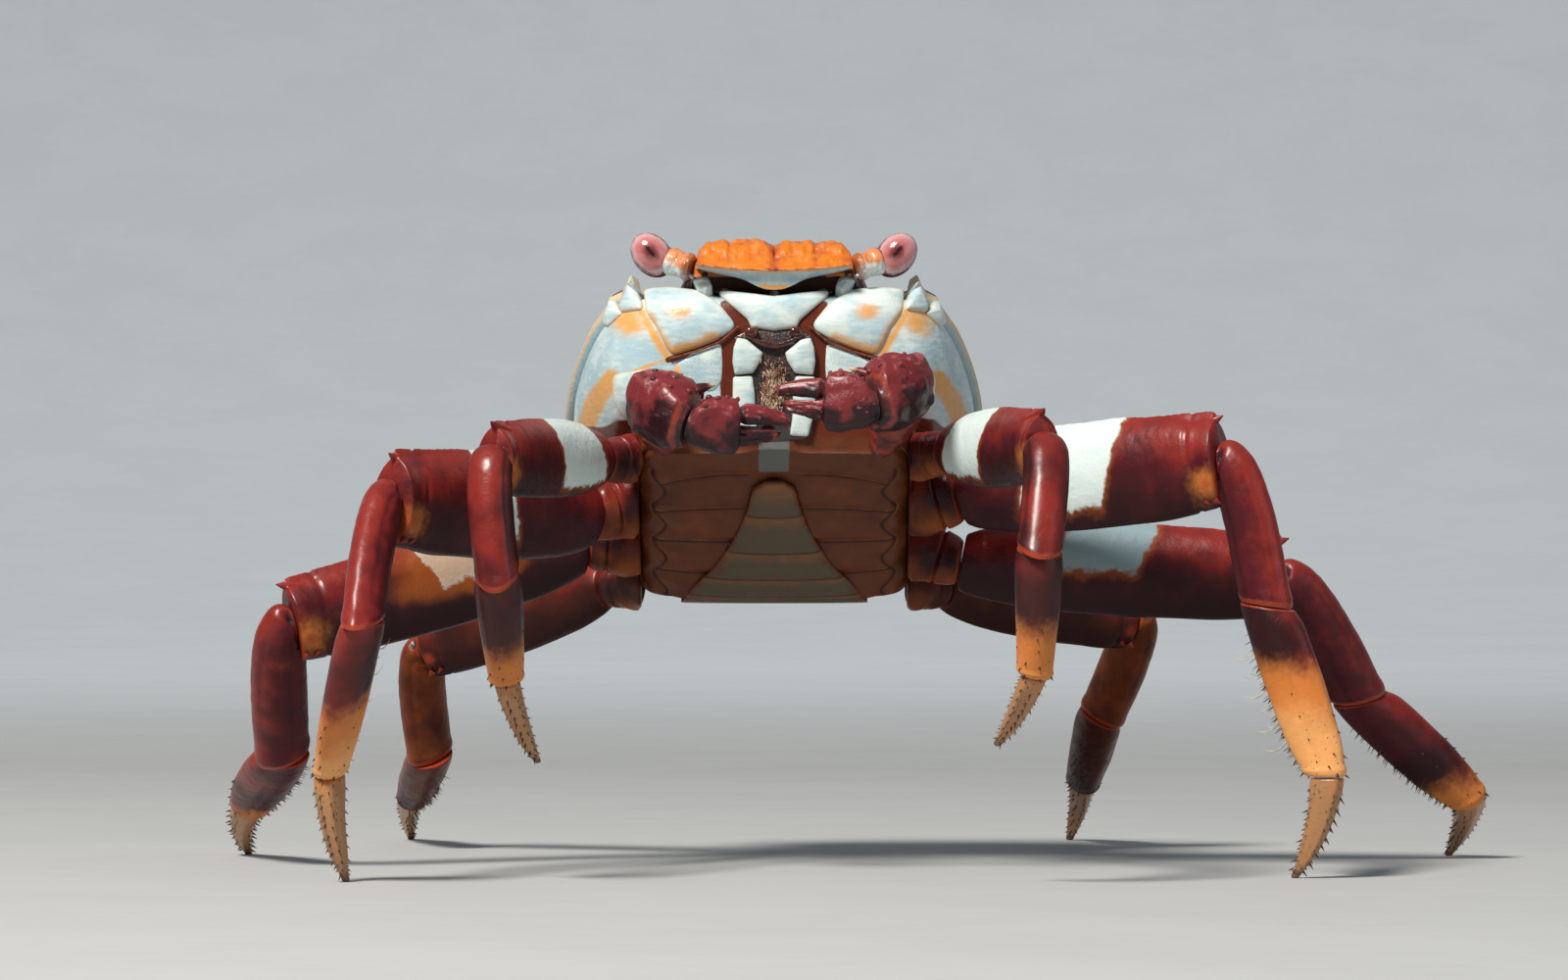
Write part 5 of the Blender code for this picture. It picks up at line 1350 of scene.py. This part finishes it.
def make_bristles(side_name, number, ankle, claw_tip, axes, finishes):
    """Spines and bristles of one leg. Each row runs down a limb at one angle; each spine stands on the skin there,
    leaning towards the limb's end, its length and place varied by noise."""
    front = 0.0 if SIDES[side_name] > 0 else math.pi
    spots = ring_spots(LEG_RINGS)

    def row(rings, axis, where, first, last, count, length, lean, seed, wide=0.5, jitter=0.05):
        """Roots, tips and radii of one row."""
        at = np.linspace(first, last, count)
        wander = noise(np.stack([at * 50, 0 * at, 0 * at], 1), 0.7, seed)
        i = np.clip(np.searchsorted(spots, at + wander * jitter * 0.3), 1, len(spots) - 2)
        k = np.round((where + wander * jitter * 4) / (2 * math.pi) * LEG_SIDES).astype(int) % LEG_SIDES
        root = rings[i, k]
        way = unit(root - rings[i].mean(1))
        tip = root + unit(way + lean * axis) * (length * (1 + 0.35 * wander))[:, None]
        tip[:, 2] = np.maximum(tip[:, 2], 0.0002)
        return root - way * 0.00012, tip, np.full(count, wide * MM)

    def grow(label, rows, finish, shape, bend=(0, 0, 0), sides=5, slot="shell_brown"):
        """All the rows as one piece."""
        skin = studs(*(np.concatenate(part) for part in zip(*rows)), shape, bend, sides)
        piece(f"{side_name}_leg_{number + 1}_{label}", [skin], finishes[finish], (), slot)

    size = (0.85, 1.0, 0.9, 0.8)[number] * MM
    quarter, odd = math.pi / 4, (1, 3, 5, 7)
    below = -quarter * 2
    first = 0.30 if side_name == "left" and number == 1 else 0.45
    tip, shin = (claw_tip, axes[4]), (ankle, axes[3])
    spines = [row(*tip, quarter * k, 0.08 + 0.03 * (k % 4), 0.90, 9, 1.25 * size, 0.9, 60 + k, 0.22)
              for k in (2, 6)]
    spines += [row(*tip, quarter * k, 0.12, 0.88, 8, 0.75 * size, 1.3, 66 + k, 0.17) for k in odd]
    spines += [row(*shin, below + way * 0.30, first, 0.97, 8, 0.9 * size, 0.9, 70 + way, 0.20) for way in (-1, 1)]
    spines += [row(*shin, quarter * 2, 0.60, 0.98, 5, 0.7 * size, 1.2, 73, 0.2)]
    spines += [row(*shin, quarter * k, 0.96, 0.985, 2, 0.8 * size, 1.6, 80 + k, 0.2, 0.6) for k in odd]
    spines += [row(*shin, front, 0.5, 0.9, 4, 0.35 * size, 1.0, 90, 0.2, 0.02)]
    grow("spines", spines, "spine", SPIKE)
    hairs = [row(*shin, below + 0.2 * way, 0.15, 0.95, 14, 1.2 * size, 0.3, 95 + way, 0.09, 0.12)
             for way in (-1, 0, 1)]
    hairs += [row(*tip, quarter * k + 0.3, 0.05, 0.8, 10, 0.8 * size, 0.8, 98 + k, 0.08, 0.1) for k in odd]
    grow("bristles", hairs, "bristle", BRISTLE, sides=4)
    if number == 1:
        count = 6 if side_name == "left" else 4
        long = [row(*shin, below + 0.15 * way, 0.2, 0.72, count, 3.6 * MM, -0.1, 110 + way, 0.13, 0.1)
                for way in (-1, 1)]
        grow("setae", long, "seta", BRISTLE, (0, 0, -0.0011), 6, "shell_pale")


# ---------------------------------------------------------------- sizes, colours and operators

def colour_of(name, words, value):
    """A property that holds a colour."""
    return FloatVectorProperty(name=name, description=words, subtype="COLOR", size=3, min=0, max=1, default=value)


def amount_of(name, words, value, unit="NONE", least=0.0):
    """A property that holds a number."""
    return FloatProperty(name=name, description=words, default=value, min=least, unit=unit)


class CrabHues(bpy.types.PropertyGroup):
    """The crab's colours."""
    shell_red: colour_of("Shell red", "Upper side of the legs", (0.235, 0.021, 0.015))
    shell_wine: colour_of("Shell wine", "Ground colour of the legs", (0.075, 0.009, 0.014))
    shell_brown: colour_of("Shell brown", "Ground colour of the last legs", (0.105, 0.018, 0.006))
    shell_rose: colour_of("Shell rose", "Lighter flecks of the legs", (0.30, 0.080, 0.075))
    # Also the legs' painted shade, by their shade mark.
    shell_dark: colour_of("Shell dark", "Clouds and freckles", (0.018, 0.006, 0.007))
    shell_amber: colour_of("Shell amber", "Brownish orange of the legs", (0.26, 0.062, 0.012))
    shell_orange: colour_of("Shell orange", "Far ends of the legs", (0.60, 0.19, 0.040))
    shell_gold: colour_of("Shell gold", "Brightest part of the legs' far ends", (0.86, 0.42, 0.15))
    joint_red: colour_of("Joint red", "Rims at the joints", (0.36, 0.048, 0.020))
    tip_tan: colour_of("Tip tan", "Last joints of the legs", (0.40, 0.19, 0.075))
    pale_band: colour_of("Pale band", "Bands on the legs", (0.64, 0.74, 0.72))
    # Real soft skin in the joints, and also painted shade in the hollows under the front and between the mouth
    # plates.
    membrane: colour_of("Membrane", "Soft skin in the joints", (0.022, 0.018, 0.020))
    face_white: colour_of("Face white", "Light parts of the face", (0.71, 0.79, 0.75))
    face_blue: colour_of("Face blue", "Blue parts of the face", (0.39, 0.56, 0.62))
    # Also a painted shadow on the left third leg's band.
    stipple: colour_of("Stipple", "Fine dots of the face", (0.17, 0.25, 0.29))
    face_ochre: colour_of("Face ochre", "Seams and patches of the face", (0.74, 0.34, 0.050))
    face_orange: colour_of("Face orange", "Spot under each eye", (0.76, 0.32, 0.075))
    front_orange: colour_of("Front orange", "Lobes of the front", (0.66, 0.175, 0.010))
    rim_cream: colour_of("Rim cream", "Edges of the face plates", (0.70, 0.54, 0.36))
    rust: colour_of("Rust", "Strips beside the mouth", (0.115, 0.022, 0.010))
    belly: colour_of("Belly", "Underside", (0.125, 0.031, 0.009))
    belly_light: colour_of("Belly light", "Lit seams of the underside", (0.28, 0.090, 0.028))
    tail_grey: colour_of("Tail grey", "Folded tail", (0.095, 0.070, 0.040))
    median_grey: colour_of("Median grey", "Patch under the mouth", (0.13, 0.15, 0.14))
    claw_purple: colour_of("Claw purple", "Claws", (0.175, 0.019, 0.022))
    # Also painted shade on the claws' lower side.
    claw_dark: colour_of("Claw dark", "Claws' darker clouds", (0.022, 0.003, 0.006))
    # Painted highlight on the claws' knobs and upper side.
    claw_pink_highlight: colour_of("Claw pink", "Claws' knobs", (0.42, 0.110, 0.115))
    back_red: colour_of("Back red", "Ground of the back", (0.20, 0.030, 0.018))
    back_spot: colour_of("Back spot", "Pale spots of the back", (0.62, 0.50, 0.30))
    eye_pink: colour_of("Eye pink", "Ring round each eye's dark middle", (0.52, 0.17, 0.17))
    eye_deep: colour_of("Eye deep", "Dark middle of each eye", (0.17, 0.035, 0.035))
    eye_light: colour_of("Eye light", "Outer ring of each eye", (0.62, 0.40, 0.42))
    eye_hem: colour_of("Eye hem", "Hem of the eyes", (0.085, 0.025, 0.040))
    eye_slit: colour_of("Eye slit", "Slit of the eyes", (0.022, 0.005, 0.007))


class CrabStage(bpy.types.PropertyGroup):
    """The stage's sizes and lights."""
    floor_radius: amount_of("Floor radius", "Flat part of the floor", 1.5, "LENGTH", 0.5)
    floor_steps: IntProperty(name="Floor steps", description="Steps once round the floor", default=96, min=16)
    floor_tone: colour_of("Floor tone", "Floor and sweep", (0.46, 0.47, 0.47))
    key_power: amount_of("Key light", "Soft light from the upper left", 30.0, "POWER")
    fill_power: amount_of("Fill light", "Soft light from the right", 2.2, "POWER")
    back_power: amount_of("Backdrop light", "Soft light on the sweep behind", 34.0, "POWER")
    sky: amount_of("Sky", "Strength of the even light all round", 0.24)
    lens: amount_of("Lens", "Focal length in millimetres", 150.0, least=10.0)
    camera_back: amount_of("Camera distance", "From the body's middle", 1.10, "LENGTH")
    camera_height: amount_of("Camera height", "Over the floor", 0.0627, "LENGTH")


def back_paint(w):
    """Back shell: red with dark clouds, two sizes of pale spots, lighter ridges, an orange front with gold
    patches, rust specks and red notches, the notches and the grit's pits darker as painted shade; a cream margin
    over a blue underside, and painted shade in the hollow under the front."""
    mark, cloud, middle, fine = w.mark, w.grain(0.010), w.grain(0.0035), w.grain(0.0009, 3.0)
    colour = flat(w, "back_red").layers(
        ("shell_dark", (cloud * 2.2 + middle * 1.2 + 0.3).between(0.1, 0.9) * 0.8),
        ("joint_red", (mark("ridge") + middle).between(0.5, 1.0) * 0.5),
        ("back_spot", (w.dots(0.0042) + fine * 0.25 + cloud * 0.2).between(0.24, 0.13) * 0.85),
        ("back_spot", (w.dots(0.0016) + fine * 0.2 - cloud * 0.4).between(0.14, 0.06) * 0.7),
        ("front_orange", (mark("front") + fine * 0.8 + middle * 1.1).between(0.25, 0.7)),
        ("shell_gold", (mark("front") * (middle * 1.6 + fine + 0.2)).between(0.2, 0.9) * 0.35),
        ("rust", w.dots(0.0009).between(0.18, 0.08) * mark("front") * 0.55),
        # Painted shade: darker red in the notches between the lobes and in the grit's pits.
        ("joint_red", mark("front") * mark("notch") * 0.75),
        ("face_blue", mark("under")),
        # Painted shade in the hollow under the front.
        ("membrane", mark("hollow")),
        ("rim_cream", (mark("margin") + fine * 0.3).between(0.35, 0.7)))
    height = fine * 0.00010 + w.grain(0.0022) * 0.00012 - w.dots(0.0006).between(0.3, 0.05) * 0.00004
    return colour, 0.36 + w.grain(0.002, 4.0) * 0.3, height, {
        "Coat Weight": 0.24, "Coat Roughness": 0.16, "Specular IOR Level": 0.30}


def thorax_paint(w):
    """Thorax shell: blue-white enamel with stippling, ochre and rust where their marks say; brown with amber
    clouds on the belly, with a grey middle patch, dark seams and a lit edge ahead of each; and painted shade in
    the hollow under the front."""
    mark, cloud, patch = w.mark, w.grain(0.006), w.grain(0.0025, 3.0)
    streak = w.grain(0.0009, 3.0, (2.5, 2.5, 0.8))
    belly = flat(w, "belly").layers(
        ("shell_dark", (cloud * 1.6 + patch + 0.1).between(0.0, 0.9) * 0.6),
        ("shell_amber", (patch * 1.4 - cloud * 1.6 + 0.1).between(0.1, 0.9) * 0.55))
    colour = flat(w, "face_white").layers(
        ("face_blue", (cloud * 1.5 + streak * 1.2 + 0.75).between(0.15, 1.0)),
        ("stipple", w.dots(0.00042).between(0.34, 0.12) * (mark("pits") + cloud).between(0.2, 0.9) * 0.75),
        ("face_ochre", (mark("ochre") + patch * 0.7 + streak * 0.3).between(0.2, 0.95) * 0.9),
        ("rust", (mark("rust") + patch * 0.3 + streak * 0.2).between(0.3, 0.7)),
        (belly, (mark("belly") + cloud * 0.4).between(0.25, 0.7)),
        ("median_grey", (mark("median") + streak * 0.4 + patch * 0.4).between(0.25, 0.75) * 0.9),
        ("belly_light", mark("lit") * (patch * 1.5 + 0.6).between(0.2, 1.0)),
        ("shell_dark", (mark("seam") + streak * 0.2).between(0.3, 0.9) * 0.9),
        # Painted shade in the hollow under the front.
        ("membrane", mark("hollow").between(0.25, 0.7)))
    rough = 0.30 + w.grain(0.0025, 4.0) * 0.3 + mark("belly") * 0.15
    return colour, rough, streak * 0.00007 + cloud * 0.0002 + patch * 0.0001, {
        "Coat Weight": 0.3 - mark("belly") * 0.28, "Coat Roughness": 0.15, "Specular IOR Level": 0.28}


def tail_paint(w):
    """Tail shell: grey brown, redder at the edges, lighter at each segment's start and at the tip, dark in the
    seams."""
    mark, cloud, patch, fine = w.mark, w.grain(0.004), w.grain(0.002, 3.0), w.grain(0.0009, 3.0)
    colour = flat(w, "tail_grey").layers(
        ("belly", (cloud * 1.8 + fine * 0.8 + mark("edge") * 0.9).between(0.2, 0.9)),
        ("belly_light", (mark("band") + patch * 0.9).between(0.35, 0.95) * 0.55),
        ("belly_light", mark("tip") * 0.6),
        ("shell_dark", mark("seam") * 0.9))
    return colour, 0.45 + fine * 0.3, fine * 0.00008 + patch * 0.0001, {"Specular IOR Level": 0.35}


def tip_paint(w):
    """Shell of the legs' last joints: tan, orange near the ankle, with dark clouds and freckles and a dark tip."""
    mark, cloud, fine = w.mark, w.grain(0.003), w.grain(0.0007, 3.0)
    colour = flat(w, "tip_tan").layers(
        ("shell_orange", (cloud * 1.6 + 0.55 - mark("along") * 1.3).between(0.3, 1.0) * 0.7),
        ("shell_dark", (cloud * 1.2 + fine).between(0.25, 0.7) * 0.6),
        ("shell_dark", w.dots(0.0012).between(0.22, 0.10) * mark("freckle") * 0.8),
        ("shell_dark", (mark("along") + fine * 0.3).between(0.80, 1.02) * 0.85))
    return colour, 0.36 + fine * 0.3, fine * 0.0001, {"Coat Weight": 0.3, "Coat Roughness": 0.2}


class CRAB_OT_back(bpy.types.Operator):
    """Build the carapace with its carving, lobes, teeth and cream margin"""
    bl_idname = "crab.back"
    bl_label = "Carapace"

    def execute(self, context):
        make_carapace(finish_for("back shell", back_paint))
        return {"FINISHED"}


class CRAB_OT_underside(bpy.types.Operator):
    """Build the thorax, its seamed underside and the folded tail plate"""
    bl_idname = "crab.underside"
    bl_label = "Thorax and tail"

    def execute(self, context):
        make_thorax(finish_for("thorax shell", thorax_paint))
        make_abdomen(finish_for("tail shell", tail_paint))
        return {"FINISHED"}


class CRAB_OT_face(bpy.types.Operator):
    """Build the raised plates of the face, the front's underside and the mouth"""
    bl_idname = "crab.face"
    bl_label = "Face and mouth"

    def execute(self, context):
        make_face()
        make_front()
        make_mouth()
        return {"FINISHED"}


class CRAB_OT_eyes(bpy.types.Operator):
    """Build the eyes, their stalks and the feelers"""
    bl_idname = "crab.eyes"
    bl_label = "Eyes and feelers"

    def execute(self, context):
        make_eyes()
        return {"FINISHED"}


class CRAB_OT_claws(bpy.types.Operator):
    """Build both claws"""
    bl_idname = "crab.claws"
    bl_label = "Claws"

    def execute(self, context):
        make_claws()
        return {"FINISHED"}


class CRAB_OT_legs(bpy.types.Operator):
    """Build the eight walking legs with their spines and bristles"""
    bl_idname = "crab.legs"
    bl_label = "Walking legs"

    def execute(self, context):
        finishes = {
            "near": finish_for("leg shell", leg_paint, "shell_wine"),
            "far": finish_for("last leg shell", leg_paint, "shell_brown"),
            "tip": finish_for("leg tip shell", tip_paint),
            "spine": finish_for("spines", plain_paint, ((0.040, 0.018, 0.012), (0.10, 0.045, 0.022)), 0.001, 0.3),
            "bristle": finish_for("bristles", plain_paint, ((0.05, 0.028, 0.018), (0.12, 0.07, 0.04)), 0.001, 0.4),
            "seta": finish_for("long setae", plain_paint, ((0.62, 0.60, 0.50), (0.44, 0.40, 0.30)), 0.001, 0.35),
        }
        for side_name in SIDES:
            for number in range(4):
                make_bristles(side_name, number, *make_leg(side_name, number, finishes), finishes)
        return {"FINISHED"}


# Metres: the sweep's radius, the backdrop's top, how far the lights' aim lies under the body's middle, and how far
# the camera stands aside from it.
SWEEP_RADIUS, BACKDROP_TOP, AIM_DROP, CAMERA_ASIDE = 2.0, 2.6, 0.02, 0.00165


class CRAB_OT_stage(bpy.types.Operator):
    """Set the pale floor with its sweep, the soft lights and the camera"""
    bl_idname = "crab.stage"
    bl_label = "Stage"

    def execute(self, context):
        scene, stage = context.scene, context.scene.crab_stage
        rise = np.radians(np.linspace(0, 90, 20))[1:]
        wall = stage.floor_radius + SWEEP_RADIUS
        radius = np.concatenate([[0.001], np.linspace(0.1, stage.floor_radius, 12),
                                 stage.floor_radius + SWEEP_RADIUS * np.sin(rise), [wall]])
        height = np.concatenate([np.zeros(13), SWEEP_RADIUS - SWEEP_RADIUS * np.cos(rise), [BACKDROP_TOP]])
        turn = once_round(stage.floor_steps)
        out = radius[:, None]
        rings = np.stack(np.broadcast_arrays(out * np.cos(turn), out * np.sin(turn), height[:, None]), -1)
        k = np.arange((len(radius) - 1) * len(turn)).reshape(-1, len(turn))
        beside = np.roll(k, -1, 1)
        faces = np.stack([k, k + len(turn), beside + len(turn), beside], -1).reshape(-1, 4)
        mesh = bpy.data.meshes.new("floor")
        mesh.from_pydata(rings.reshape(-1, 3).tolist(), [], faces.tolist() + [list(range(len(turn)))])
        mesh.shade_smooth()
        tone = tuple(stage.floor_tone)
        mesh.materials.append(finish_for("floor paint", plain_paint, (tone, tuple(part * 0.97 for part in tone)),
                                         0.05, 0.75, 0.0, {"Specular IOR Level": 0.2}))
        placed("floor", mesh)

        world = bpy.data.worlds.new("studio")
        world.use_nodes = True
        world.node_tree.nodes["Background"].inputs["Color"].default_value = (0.80, 0.90, 1.0, 1)
        world.node_tree.nodes["Background"].inputs["Strength"].default_value = stage.sky
        scene.world = world
        middle = BODY_CENTRE - np.array([0, 0, AIM_DROP])
        for name, power, size, place, way, hue in (
                ("key", stage.key_power, 0.32, (-0.50, -0.78, 1.12), (0.50, 0.78, -1.12), (1.0, 0.95, 0.88)),
                ("fill", stage.fill_power, 0.9, (1.1, -0.8, 0.35), (-1.1, 0.8, -0.35), (0.86, 0.93, 1.0)),
                ("backdrop", stage.back_power, 1.4, (0.0, 1.0, 1.5), (0.0, 1.0, -0.40), (0.92, 0.96, 1.0))):
            light = bpy.data.lights.new(name, "AREA")
            light.energy, light.size, light.color = power, size, hue
            lamp, way = placed(name, light), unit(way)
            lamp.location = middle + np.array(place)
            lamp.rotation_euler = (math.acos(-way[2]), 0, math.atan2(way[0], -way[1]) + math.pi)
        camera = bpy.data.cameras.new("camera")
        camera.lens, camera.sensor_width, camera.clip_start = stage.lens, 36, 0.05
        view = placed("camera", camera)
        view.location = (BODY_CENTRE[0] + CAMERA_ASIDE, BODY_CENTRE[1] - stage.camera_back, stage.camera_height)
        view.rotation_euler = (math.pi / 2, 0, 0)
        scene.camera = view
        scene.view_settings.view_transform = "Standard"
        return {"FINISHED"}


class CRAB_PT_panel(bpy.types.Panel):
    """Lists the crab's pieces in the order in which they're built"""
    bl_idname = "CRAB_PT_panel"
    bl_label = "Red rock crab"
    bl_space_type = "VIEW_3D"
    bl_region_type = "UI"
    bl_category = "Crab"

    def draw(self, context):
        for operator in OPERATORS:
            self.layout.operator(operator.bl_idname)
        for group, kind in ((context.scene.crab_stage, CrabStage), (context.scene.crab_hues, CrabHues)):
            box = self.layout.box()
            for key in kind.__annotations__:
                box.prop(group, key)


OPERATORS = (CRAB_OT_back, CRAB_OT_underside, CRAB_OT_face, CRAB_OT_eyes, CRAB_OT_claws, CRAB_OT_legs,
             CRAB_OT_stage)
GROUPS = (CrabHues, CrabStage)


def register():
    """Makes the classes and the scene's properties known to Blender."""
    for kind in GROUPS + OPERATORS + (CRAB_PT_panel,):
        bpy.utils.register_class(kind)
    bpy.types.Scene.crab_hues = PointerProperty(type=CrabHues)
    bpy.types.Scene.crab_stage = PointerProperty(type=CrabStage)


def unregister():
    """Takes them back in the opposite order."""
    del bpy.types.Scene.crab_hues
    del bpy.types.Scene.crab_stage
    for kind in (CRAB_PT_panel,) + OPERATORS[::-1] + GROUPS[::-1]:
        bpy.utils.unregister_class(kind)


def main():
    register()
    for old in [obj for obj in bpy.data.objects if obj.type in {"CAMERA", "LIGHT"} or obj.name == "Cube"]:
        bpy.data.objects.remove(old)
    for operator in OPERATORS:
        group, name = operator.bl_idname.split(".")
        getattr(getattr(bpy.ops, group), name)()


if __name__ == "__main__":
    main()
